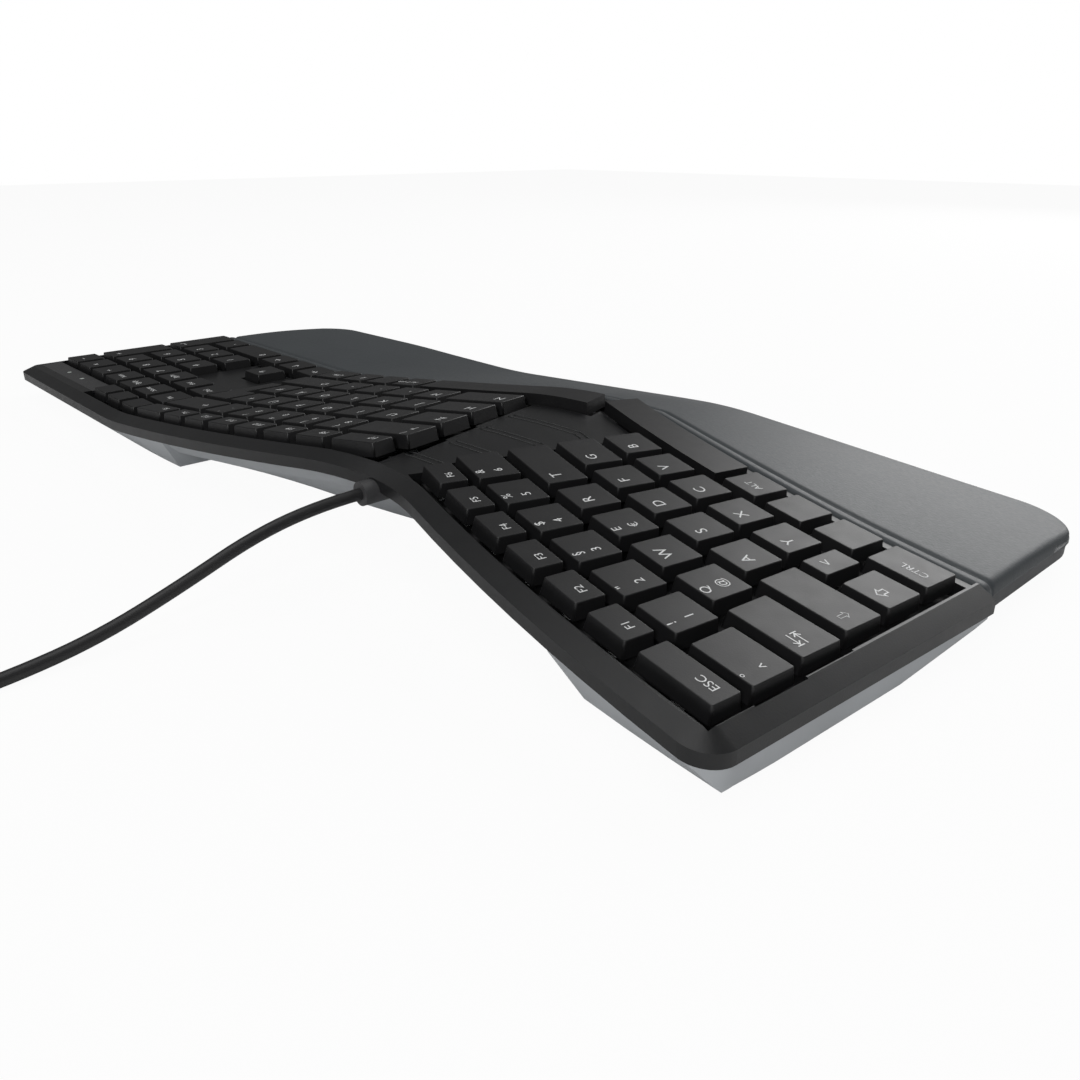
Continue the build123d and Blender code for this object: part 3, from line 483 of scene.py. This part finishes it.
@dataclass
class Keys:
    """The keycaps with their legends."""

    workshop: Workshop
    pitch: float = 19.05
    cap: float = 14.5
    gap: float = 4.55
    function_width: float = 14.3
    function_depth: float = 9.4
    function_reach: float = 53.8
    flat_x: float = 104.7
    flat_y: float = 70.8
    system_keys: int = 3
    system_pitch: float = 17.65
    system_width: float = 13.2
    cap_height: float = 5.0
    flare: float = 0.65
    corner: float = 0.6
    corner_steps: int = 3
    edge: float = 0.25
    edge_steps: int = 2
    type_steps: int = 3
    sign_size: float = 5.5
    word_size: float = 3.7
    pair_size: float = 4.4
    pair_behind: float = 3.4
    pair_before: float = -3.0
    legend_left: float = 3.3
    legend_rear: float = 5.6
    function_legend: float = -0.6
    ink_lift: float = 0.05

    def runs(self) -> list[Run]:
        """Lay out the two tilted fields.

        Returns:
            The runs of caps, in the order in which their groups are made.
        """
        one, two = self.cap, self.cap + self.pitch
        low_functions = [f"F{n}" for n in range(1, 7)]
        high_functions = [f"F{n}" for n in range(7, 13)] + ["Prt", "Scr"]
        low_digits = ["^°", "1!", '2"', "3§", "4$", "5%", "6&"]
        high_digits = ["7/", "8(", "9)", "0=", "ß?", "´`"]
        return [
            Run("key_escape", LEFT, Line.FUNCTION, 51.5, [23.5], ["ESC"]),
            Run("keys_function_left", LEFT, Line.FUNCTION, 79.55, [self.function_width] * 6, low_functions),
            Run("keys_number_left", LEFT, Line.DIGITS, 50.0, [19.55] + [one] * 5 + [18.7], low_digits),
            Run("key_tab", LEFT, Line.UPPER, 49.5, [24.0], ["↹"]),
            Run("keys_upper_left", LEFT, Line.UPPER, 78.05, [one] * 4 + [28.9], ["@Q", "W", "€E", "R", "T"]),
            Run("key_caps_lock", LEFT, Line.HOME, 49.3, [28.4], ["⇩"]),
            Run("keys_home_left", LEFT, Line.HOME, 82.25, [one] * 4 + [20.1], list("ASDFG")),
            Run("key_shift_left", LEFT, Line.LOWER, 48.3, [14.9], ["⇧"]),
            Run("keys_lower_left", LEFT, Line.LOWER, 67.9, [9.05], ["<"]),
            Run("keys_lower_left", LEFT, Line.LOWER, 81.5, [one] * 4 + [15.7], list("YXCVB")),
            Run(
                "keys_modifier_left", LEFT, Line.SPACE, 47.4, [19.6, 14.8, 14.8, 14.8],
                ["CTRL", "", "", "ALT"],
            ),
            Run(
                "keys_function_right", RIGHT, Line.FUNCTION, -168.0, [20.15] + [one] * 6 + [24.0],
                high_functions,
            ),
            Run("keys_number_right", RIGHT, Line.DIGITS, -168.2, [29.4] + [one] * 5, high_digits),
            Run("key_backspace", RIGHT, Line.DIGITS, -38.95, [two], ["←"]),
            Run("keys_upper_right", RIGHT, Line.UPPER, -162.8, [19.7] + [one] * 6, list("ZUIOPÜ+")),
            Run("keys_home_right", RIGHT, Line.HOME, -157.2, [24.0] + [one] * 6, list("HJKLÖÄ#")),
            Run("keys_lower_right", RIGHT, Line.LOWER, -152.9, [29.4] + [one] * 4, list("NM,.-")),
            Run("key_shift_right", RIGHT, Line.LOWER, -42.75, [37.4], ["⇧"]),
            Run(
                "keys_modifier_right", RIGHT, Line.SPACE, -82.2, [one, one, one, 19.7],
                ["ALT GR", "", "≡", "CTRL"],
            ),
        ]

    def spots(self) -> list[Spot]:
        """Find every straight-sided cap.

        Returns:
            The caps of the tilted fields, then those of the level one.
        """
        found = []
        for run in self.runs():
            reach, depth = (run.line - Line.HOME) * self.pitch, self.cap
            if run.line == Line.FUNCTION:
                reach, depth = self.function_reach, self.function_depth
            radius = run.plane.home_radius + reach
            start = run.start
            for width, legend in zip(run.widths, run.legends):
                angle = (start + width / 2) / radius
                local = Vector((radius * math.sin(angle), radius * math.cos(angle), 0.0)) * MM
                place = run.plane.matrix() @ Matrix.Translation(local) @ Matrix.Rotation(-angle, 4, "Z")
                found.append(Spot(run.group, place, width, depth, legend))
                start += width + self.gap
        return found + self.level_spots()

    def level_spot(
        self, group: str, line: float, column: float, legend: str, wide: bool = False, tall: bool = False,
    ) -> Spot:
        """Find one cap of the level field.

        Args:
            group: the group that it moves with.
            line: its row, or the middle of two rows.
            column: its column, or the middle of two columns.
            legend: what it says.
            wide: whether it takes up two columns.
            tall: whether it takes up two rows.

        Returns:
            The cap's spot.
        """
        one, two = self.cap, self.cap + self.pitch
        x = self.flat_x + column * self.pitch
        y = self.flat_y + (line - Line.DIGITS) * self.pitch
        place = FLAT.matrix() @ Matrix.Translation(Vector((x, y, 0.0)) * MM)
        return Spot(group, place, two if wide else one, two if tall else one, legend)

    def level_spots(self) -> list[Spot]:
        """Find the caps of the level field.

        Returns:
            Its caps, with the small system keys last.
        """
        layout = (
            ("keys_navigation", Line.DIGITS, 0, ("Ins", "Home", "PgUp")),
            ("keys_navigation", Line.UPPER, 0, ("Del", "End", "PgDn")),
            ("key_arrow_up", Line.LOWER, 1, "↑"),
            ("keys_arrow", Line.SPACE, 0, "←↓→"),
            ("keys_number_pad", Line.DIGITS, 3, ("Num", "÷", "×", "−")),
            ("keys_number_pad", Line.UPPER, 3, "789"),
            ("keys_number_pad", Line.HOME, 3, "456"),
            ("keys_number_pad", Line.LOWER, 3, "123"),
            ("keys_number_pad", Line.SPACE, 5, ","),
        )
        found = []
        for group, line, first, legends in layout:
            found += [self.level_spot(group, line, first + n, text) for n, text in enumerate(legends)]
        found.append(self.level_spot("keys_number_pad_tall", Line.UPPER - 0.5, 6, "+", tall=True))
        found.append(self.level_spot("keys_number_pad_tall", Line.LOWER - 0.5, 6, "↵", tall=True))
        found.append(self.level_spot("key_zero", Line.SPACE, 3.5, "0", wide=True))
        y = self.flat_y + self.function_reach - (Line.DIGITS - Line.HOME) * self.pitch
        for number in range(self.system_keys):
            x = self.flat_x + number * self.system_pitch
            place = FLAT.matrix() @ Matrix.Translation(Vector((x, y, 0.0)) * MM)
            found.append(Spot("keys_system", place, self.system_width, self.function_depth, ""))
        return found

    def add_cap(self, mesh: bmesh.types.BMesh, spot: Spot) -> None:
        """Add one flat cap with soft edges and sides that flare downwards.

        Args:
            mesh: where it goes.
            spot: its place and size.
        """
        half = self.cap_height * MM / 2
        cap = bmesh.new()
        bmesh.ops.create_cube(cap, size=1.0)
        bmesh.ops.scale(cap, vec=Vector((spot.width, spot.depth, self.cap_height)) * MM, verts=cap.verts)
        bmesh.ops.translate(cap, vec=(0, 0, -half), verts=cap.verts)
        low = [v for v in cap.verts if v.co.z < -half]
        spread = [(size + 2 * self.flare) / size for size in (spot.width, spot.depth)]
        bmesh.ops.scale(cap, vec=(*spread, 1.0), verts=low)
        upright = [e for e in cap.edges if abs(e.verts[0].co.z - e.verts[1].co.z) > half]
        soften(cap, upright, self.corner, self.corner_steps)
        top = [e for e in cap.edges if all(v.co.z > -half for v in e.verts)]
        soften(cap, top, self.edge, self.edge_steps)
        cap.transform(spot.place)
        pour(cap, mesh)

    def add_text(self, mesh: bmesh.types.BMesh, place: Matrix, text: str, size: float) -> None:
        """Print one text.

        Args:
            mesh: where it goes.
            place: the middle of its left side.
            text: what it says.
            size: height of its type.
        """
        curve = bpy.data.curves.new("legend", "FONT")
        curve.body = text
        curve.size = size * MM
        curve.align_x = "LEFT"
        curve.align_y = "CENTER"
        curve.resolution_u = self.type_steps
        holder = bpy.data.objects.new("legend", curve)
        shape = bpy.data.meshes.new_from_object(holder)
        shape.transform(place)
        mesh.from_mesh(shape)
        bpy.data.objects.remove(holder)
        bpy.data.curves.remove(curve)
        bpy.data.meshes.remove(shape)

    def add_legend(self, mesh: bmesh.types.BMesh, spot: Spot) -> None:
        """Print a cap's legend nearer its rear left corner, with a pair's second sign behind the first.

        Args:
            mesh: where it goes.
            spot: the cap.
        """
        text = spot.legend
        rear = self.function_legend if spot.depth < self.cap else spot.depth / 2 - self.legend_rear
        corner = Vector((self.legend_left - spot.width / 2, rear, self.ink_lift))
        size = self.sign_size if len(text) == 1 else self.word_size
        signs = [(0.0, text)]
        if len(text) == 2 and not text[1].isdigit():
            size = self.pair_size
            signs = [(self.pair_behind, text[1]), (self.pair_before, text[0])]
        for shift, sign in signs:
            moved = Matrix.Translation(Vector((0.0, shift, 0.0)) * MM)
            self.add_text(mesh, spot.place @ moved @ Matrix.Translation(corner * MM), sign, size)

    def build(self) -> None:
        """Make every cap group and its legends."""
        caps: dict[str, bmesh.types.BMesh] = {}
        inks: dict[str, bmesh.types.BMesh] = {}
        for spot in self.spots():
            self.add_cap(caps.setdefault(spot.group, bmesh.new()), spot)
            if spot.legend:
                self.add_legend(inks.setdefault(spot.group, bmesh.new()), spot)
        for name, mesh in caps.items():
            piece = self.workshop.piece("caps_" + name, mesh, Finish.KEYCAP, name)
            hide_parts(name)
        for name, mesh in inks.items():
            self.workshop.piece("legends_" + name, mesh, Finish.LEGEND, name)
        for name in ("key_space_left", "key_space_right", "key_enter"):
            self.workshop.dress(name, Finish.KEYCAP)


@dataclass
class Hump:
    """Pairs of fine ribs that carry the row gaps on over the bare surface between the halves, coloured
    lighter than the housing as a painted highlight.

    A seam says how far it lies behind the home row's middle, where it starts along the left half's row
    and where it ends along the right half's row.
    """

    workshop: Workshop
    seams: tuple[Triple, ...] = (
        (-9.525, 181.0, -160.0), (9.525, 186.0, -165.5), (28.6, 191.0, -171.0), (47.2, 191.0, -171.0),
    )
    half_gap: float = 1.5
    width: float = 0.7
    top_share: float = 0.55
    height: float = 0.25
    sink: float = 0.3
    surface_drop: float = 4.0
    crest: tuple[float, float] = (-63.8, 37.1)
    crest_radius: float = 160.0
    steps: int = 24

    def surface(self, x: float) -> float:
        """Height of the bare surface, which arches over the crest.

        Args:
            x: where to read it.

        Returns:
            The height.
        """
        half = LEFT if x < self.crest[0] else RIGHT
        tilt = math.radians(half.tilt)
        level = self.surface_drop / math.cos(tilt)
        flat = self.crest[1] + math.tan(tilt) * (x - self.crest[0]) - level
        radius = self.crest_radius - self.surface_drop
        middle = math.radians(LEFT.tilt + RIGHT.tilt) / 2
        reach = radius * math.tan(math.radians(LEFT.tilt - RIGHT.tilt) / 2) * math.cos(middle)
        into = max(0.0, reach - abs(x - self.crest[0]))
        return flat - into * into / (2 * radius)

    def add_rib(self, mesh: bmesh.types.BMesh, shift: float, start: float, end: float) -> None:
        """Sweep one rib along its row line.

        Args:
            mesh: where it goes.
            shift: how far it lies behind the home row's middle.
            start: where it starts, along the left half's row.
            end: where it ends, along the right half's row.
        """
        left, right = LEFT.home_radius + shift, RIGHT.home_radius + shift
        first, last = LEFT.arc_x(left, start), RIGHT.arc_x(right, end)
        rib = bmesh.new()
        bmesh.ops.create_cube(rib, size=1.0)
        long_edges = [e for e in rib.edges if abs(e.verts[0].co.x - e.verts[1].co.x) > 0.5]
        bmesh.ops.subdivide_edges(rib, edges=long_edges, cuts=self.steps, use_grid_fill=True)
        for vert in rib.verts:
            is_top = vert.co.z > 0
            x = first + (last - first) * (vert.co.x + 0.5)
            middle = max(LEFT.arc_y(left, x), RIGHT.arc_y(right, x))
            y = middle + vert.co.y * self.width * (self.top_share if is_top else 1.0)
            z = self.surface(x) + (self.height if is_top else -self.sink)
            vert.co = Vector((x, y, z)) * MM
        bmesh.ops.recalc_face_normals(rib, faces=rib.faces)
        pour(rib, mesh)

    def build(self) -> None:
        """Make all ribs as one piece on the housing."""
        mesh = bmesh.new()
        for seam, start, end in self.seams:
            for side in (-1, 1):
                self.add_rib(mesh, seam + side * self.half_gap, start, end)
        # The ribs' lighter finish is a painted highlight.
        self.workshop.piece("hump_ribs", mesh, Finish.RIB_HIGHLIGHT, "case")


@dataclass
class PalmRest:
    """The wavy cushion with its bead along the keys.

    Its profiles are corners as X and height: the top's and the seam's, each at the rear plane and at the
    front plane.
    """

    workshop: Workshop
    left_x: float = -237.0
    right_x: float = 238.0
    front_y: float = -101.3
    corner: float = 24.0
    edge_left: float = 606.05
    edge_right: float = 654.95
    rear_plane: float = -14.0
    front_plane: float = -103.3
    edge: float = 3.4
    rear_edge: float = 1.2
    bead: float = 5.0
    bead_height: float = 0.9
    groove: float = 1.6
    crown: float = 0.9
    sink: float = 0.2
    seam_lift: float = 0.1
    weld: float = 0.01
    columns: int = 460
    lines: int = 76
    crowd_ends: float = 0.35
    crowd_rear: float = 0.45
    samples: int = 9
    reach: float = 244.9
    soft_rear: float = 12.0
    soft_front: float = 14.0
    rear: Corners = (
        (-245.0, 13.5), (-188.0, 20.6), (-66.0, 39.2), (53.0, 22.6), (102.0, 17.0), (245.0, 16.9),
    )
    front: Corners = (
        (-245.0, 11.4), (-188.0, 15.1), (-88.0, 21.9), (53.0, 13.3), (143.0, 14.3), (245.0, 12.9),
    )
    seam_rear: Corners = (
        (-245.0, 9.6), (-188.0, 13.0), (-66.0, 26.0), (53.0, 14.5), (102.0, 10.5), (245.0, 10.2),
    )
    seam_front: Corners = (
        (-245.0, 9.4), (-188.0, 10.6), (-88.0, 13.4), (53.0, 9.6), (143.0, 9.8), (245.0, 9.8),
    )

    def profile(self, points: Corners, x: float, soft: float) -> float:
        """Height of a profile, with its corners rounded.

        Args:
            points: the profile's corners.
            x: where to read it.
            soft: half the stretch that rounds a corner.

        Returns:
            The height.
        """
        total = 0.0
        for sample in range(self.samples):
            aside = soft * (2 * sample / (self.samples - 1) - 1)
            at = min(self.reach, max(-self.reach, x + aside))
            for (x0, z0), (x1, z1) in zip(points, points[1:]):
                if x0 <= at <= x1:
                    total += z0 + (z1 - z0) * (at - x0) / (x1 - x0)
                    break
        return total / self.samples

    def surface(self, rear: Corners, front: Corners, x: float, y: float) -> float:
        """Height of the surface that runs from a rear profile to a front one.

        Args:
            rear: the profile at the rear plane.
            front: the profile at the front plane.
            x: where to read it, from left to right.
            y: where to read it, from front to rear.

        Returns:
            The height.
        """
        share = (self.rear_plane - y) / (self.rear_plane - self.front_plane)
        behind = self.profile(rear, x, self.soft_rear)
        before = self.profile(front, x, self.soft_front)
        return behind * (1 - share) + before * share

    def rear_y(self, x: float) -> float:
        """Where the cushion ends towards the keys.

        Args:
            x: where to read it.

        Returns:
            The Y of its end.
        """
        if x > RIGHT.centre[0]:
            return RIGHT.centre[1] + self.edge_right
        return max(LEFT.arc_y(self.edge_left, x), RIGHT.arc_y(self.edge_right, x))

    def front_edge(self, x: float) -> float:
        """Where the cushion ends towards the typist, with its round corners."""
        return self.front_y + round_drop(self.corner, min(x - self.left_x, self.right_x - x))

    def shape(self, u: float, v: float) -> Vector:
        """A point on the top, from two shares between 0 and 1.

        Args:
            u: from left to right.
            v: from the keys to the typist.

        Returns:
            The point in metres.
        """
        x = self.left_x + (self.right_x - self.left_x) * u
        rear, front = self.rear_y(x), self.front_edge(x)
        y = rear + (front - rear) * v
        z = self.surface(self.rear, self.front, x, y)
        behind = rear - y
        past = behind - self.bead
        if past < 0.0:
            bend = 2 * behind / self.bead - 1
            z += self.bead_height * math.sqrt(max(0.0, 1 - bend**2)) - self.bead_height
        elif past < self.bead:
            z -= self.bead_height * math.exp(-2.0 * (past / self.groove) ** 2)
        across = min(1.0, max(0.0, past / (rear - front - self.bead)))
        z += self.crown * math.sin(math.pi * across) - self.sink
        z -= round_drop(self.edge, min(y - front, x - self.left_x, self.right_x - x))
        z -= round_drop(self.rear_edge, behind)
        return Vector((x, y, z)) * MM

    def build(self) -> None:
        """Make the cushion from one grid with a skirt down to its seam."""
        mesh = bmesh.new()
        bmesh.ops.create_grid(mesh, x_segments=self.columns, y_segments=self.lines, size=0.5)
        for vert in mesh.verts:
            u, v = vert.co.x + 0.5, 0.5 - vert.co.y
            eased = 0.5 - 0.5 * math.cos(math.pi * u)
            u = self.crowd_ends * eased + (1 - self.crowd_ends) * u
            v = (1 - self.crowd_rear) * v + self.crowd_rear * v * v
            vert.co = self.shape(u, v)
        rim = [edge for edge in mesh.edges if edge.is_boundary]
        grown = bmesh.ops.extrude_edge_only(mesh, edges=rim)["geom"]
        for vert in (item for item in grown if isinstance(item, bmesh.types.BMVert)):
            seam = self.surface(self.seam_rear, self.seam_front, vert.co.x / MM, vert.co.y / MM)
            vert.co.z = (seam + self.seam_lift) * MM
        ring = [item for item in grown if isinstance(item, bmesh.types.BMEdge) and item.is_boundary]
        bmesh.ops.edgeloop_fill(mesh, edges=ring)
        bmesh.ops.remove_doubles(mesh, verts=mesh.verts, dist=self.weld * MM)
        bmesh.ops.recalc_face_normals(mesh, faces=mesh.faces)
        piece = self.workshop.piece("palm_cushion", mesh, Finish.PAD, "case")
        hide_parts("palm_pad")


@dataclass
class Cable:
    """The cable, its coil behind the keyboard and its plug.

    The lead holds points of the frame, the tail points measured from the coil's end.
    """

    workshop: Workshop
    diameter: float = 4.0
    step: float = 4.5
    turns: int = 5
    inner: float = 13.0
    arc_points: int = 8
    steps: int = 6
    round_steps: int = 5
    length: float = 2.05
    lead: tuple[Triple, ...] = (
        (-79.5, 85.4, 25.6), (-79.5, 99.0, 25.6), (-79.2, 121.5, 21.9), (-78.2, 146.0, 12.4),
        (-77.8, 170.0, 4.7), (-79.0, 194.0, 2.1), (-80.0, 219.0, 2.05), (-80.0, 238.0, 2.05),
    )
    tail: tuple[Triple, ...] = (
        (0.0, 0.0, 0.0), (0.0, 17.0, 0.0), (5.0, 38.0, -3.4),
        (20.0, 56.0, -4.5), (43.0, 64.0, -2.55), (63.0, 64.0, -2.55),
    )

    def route(self) -> list[Vector]:
        """Lay the cable out: the lead, half turns inwards, half turns outwards one layer up, the tail.

        Returns:
            Every control point from the collar to the plug.
        """
        points = [Vector(p) for p in self.lead]
        half = self.step / 2
        inward = [self.inner + (2 * self.turns - n) * half for n in range(2 * self.turns)]
        here = points[-1] + Vector((0.0, self.diameter, 0.0))
        side = 1
        # The spline cuts the corners of its control points, so they lie a little outside the turn.
        swell = 2.0 / (1.0 + math.cos(math.pi / self.arc_points))
        radii = inward + [self.inner] + inward[::-1] + [inward[0] + half]
        for number, radius in enumerate(radii):
            climb = self.step if number == len(inward) else 0.0
            middle = here + Vector((side * radius, 0.0, 0.0))
            reach = radius * swell
            for n in range(self.arc_points):
                turn = math.pi * (n + 0.5) / self.arc_points
                x = middle.x - side * reach * math.cos(turn)
                y = middle.y + side * reach * math.sin(turn)
                points.append(Vector((x, y, here.z + climb * (1 - math.cos(turn)) / 2)))
            here = here + Vector((side * 2 * radius, 0.0, climb))
            side = -side
        end = here + Vector((0.0, self.diameter, 0.0))
        return points + [end + Vector(p) for p in self.tail]

    def build(self) -> None:
        """Make the cable as one spline that runs to its plug."""
        points = self.route()
        curve = bpy.data.curves.new("cable", "CURVE")
        curve.dimensions = "3D"
        spline = curve.splines.new("NURBS")
        spline.points.add(len(points) - 1)
        for target, point in zip(spline.points, points):
            target.co = (*(point * MM), 1.0)
        spline.order_u = 3
        spline.use_endpoint_u = True
        spline.resolution_u = self.steps
        curve.bevel_depth = self.diameter * MM / 2
        curve.bevel_resolution = self.round_steps
        curve.materials.append(self.workshop.material(Finish.CABLE))
        cable = added("cable", curve)
        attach(cable, "case")
        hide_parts("cable_free", "cable_coil", "cable_tail")
        tuple(points[0] * MM)
        log.info("piece cable: %d points", len(points))


@dataclass(frozen=True)
class Lamp:
    """One soft square lamp that points at the keyboard, with its power in watts."""

    name: str
    place: Triple
    side: float
    power: float

    def build(self) -> None:
        """Hang the lamp."""
        light = bpy.data.lights.new(self.name, "AREA")
        light.energy = self.power
        light.size = self.side
        holder = added(self.name, light)
        holder.location = self.place
        holder.rotation_euler = (-Vector(self.place)).to_track_quat("-Z", "Y").to_euler()


@dataclass
class Studio:
    """Camera, lamps, the room's light and the pale desk.

    The position is in mm like the keyboard, the angles in degrees.
    """

    position: Triple = (-323.6, 232.3, 130.1)
    angles: Triple = (66.64, 0.0, -132.71)
    lens: float = 30.97
    sensor: float = 36.0
    nearest: float = 0.01
    lamps: tuple[Lamp, ...] = (
        Lamp("window", (0.10, -1.55, 0.80), 1.1, 14.0),
        Lamp("ceiling", (0.1, 0.3, 1.6), 1.4, 8.0),
        Lamp("side", (-0.9, 1.3, 0.8), 0.4, 10.0),
    )
    room: float = 0.13
    white: tuple[float, float, float, float] = (1.0, 1.0, 1.0, 1.0)
    desk_colour: tuple[float, float, float, float] = (0.80, 0.80, 0.80, 1.0)
    desk_roughness: float = 0.7
    desk_glow: float = 0.95
    desk_size: float = 3.0

    def build(self) -> None:
        """Set up the view and the light."""
        self.add_camera()
        for lamp in self.lamps:
            lamp.build()
        self.add_room()
        self.add_desk()

    def add_camera(self) -> None:
        """Stand the camera where the photograph was taken."""
        camera = bpy.data.cameras.new("camera")
        camera.lens = self.lens
        camera.sensor_width = self.sensor
        camera.clip_start = self.nearest
        holder = added("camera", camera)
        holder.location = Vector(self.position) * MM
        holder.rotation_euler = [math.radians(a) for a in self.angles]
        bpy.context.scene.camera = holder
        bpy.context.scene.view_settings.view_transform = "Standard"

    def add_room(self) -> None:
        """Surround the desk with light that the camera sees as white."""
        world = bpy.data.worlds.new("room")
        world.use_nodes = True
        tree = world.node_tree
        seen = tree.nodes.new("ShaderNodeLightPath").outputs["Is Camera Ray"]
        shown = tree.nodes.new("ShaderNodeMath")
        shown.operation = "MULTIPLY_ADD"
        shown.inputs[1].default_value = 1.0 - self.room
        shown.inputs[2].default_value = self.room
        background = tree.nodes["Background"]
        background.inputs["Color"].default_value = self.white
        tree.links.new(seen, shown.inputs[0])
        tree.links.new(shown.outputs[0], background.inputs["Strength"])
        bpy.context.scene.world = world

    def add_desk(self) -> None:
        """Lay the desk, which the camera sees almost white."""
        shader = Shader("desk_white")
        shader.feed("Base Color", self.desk_colour)
        shader.feed("Roughness", self.desk_roughness)
        seen = shader.node("ShaderNodeLightPath", {}, {}, "Is Camera Ray")
        white = shader.node("ShaderNodeEmission", {}, {"Color": self.white, "Strength": 1.0})
        lit = Value(shader, shader.bsdf.outputs[0])
        mixed = shader.node("ShaderNodeMixShader", {}, {0: seen * self.desk_glow, 1: lit, 2: white})
        shader.connect(shader.output.inputs[0], mixed)
        mesh = bmesh.new()
        bmesh.ops.create_grid(mesh, x_segments=1, y_segments=1, size=self.desk_size)
        data = bpy.data.meshes.new("desk")
        mesh.to_mesh(data)
        mesh.free()
        data.materials.append(shader.material)
        desk = added("desk", data)


@dataclass
class Case:
    """The pieces that keep their solid shape and only need their finish."""

    workshop: Workshop

    def build(self) -> None:
        """Dress every remaining node."""
        finishes = {
            "top_housing": Finish.HOUSING, "indicator_panel": Finish.PANEL, "indicator_lamps": Finish.LAMP,
            "circuit_board": Finish.BOARD, "bottom_shell": Finish.SHELL, "palm_base": Finish.TRAY,
            "rubber_feet": Finish.FOOT, "housing_screws": Finish.STEEL, "cable_collar": Finish.COLLAR,
            "plug_body": Finish.CABLE, "plug_shell": Finish.STEEL,
        }
        for part in ("left", "right", "number"):
            finishes["key_plate_" + part] = Finish.PLATE
            finishes["dome_mat_" + part] = Finish.DOME
            finishes["membrane_" + part] = Finish.FILM
            finishes["backing_plate_" + part] = Finish.STEEL
        for name, finish in finishes.items():
            self.workshop.dress(name, finish)


def main() -> None:
    """Build the keyboard's pieces in order."""
    workshop = Workshop()
    dressed = (Cable(workshop), Case(workshop), Keys(workshop), Hump(workshop), PalmRest(workshop))
    for part in (Studio(), *dressed):
        part.build()


if __name__ == "__main__":
    main()
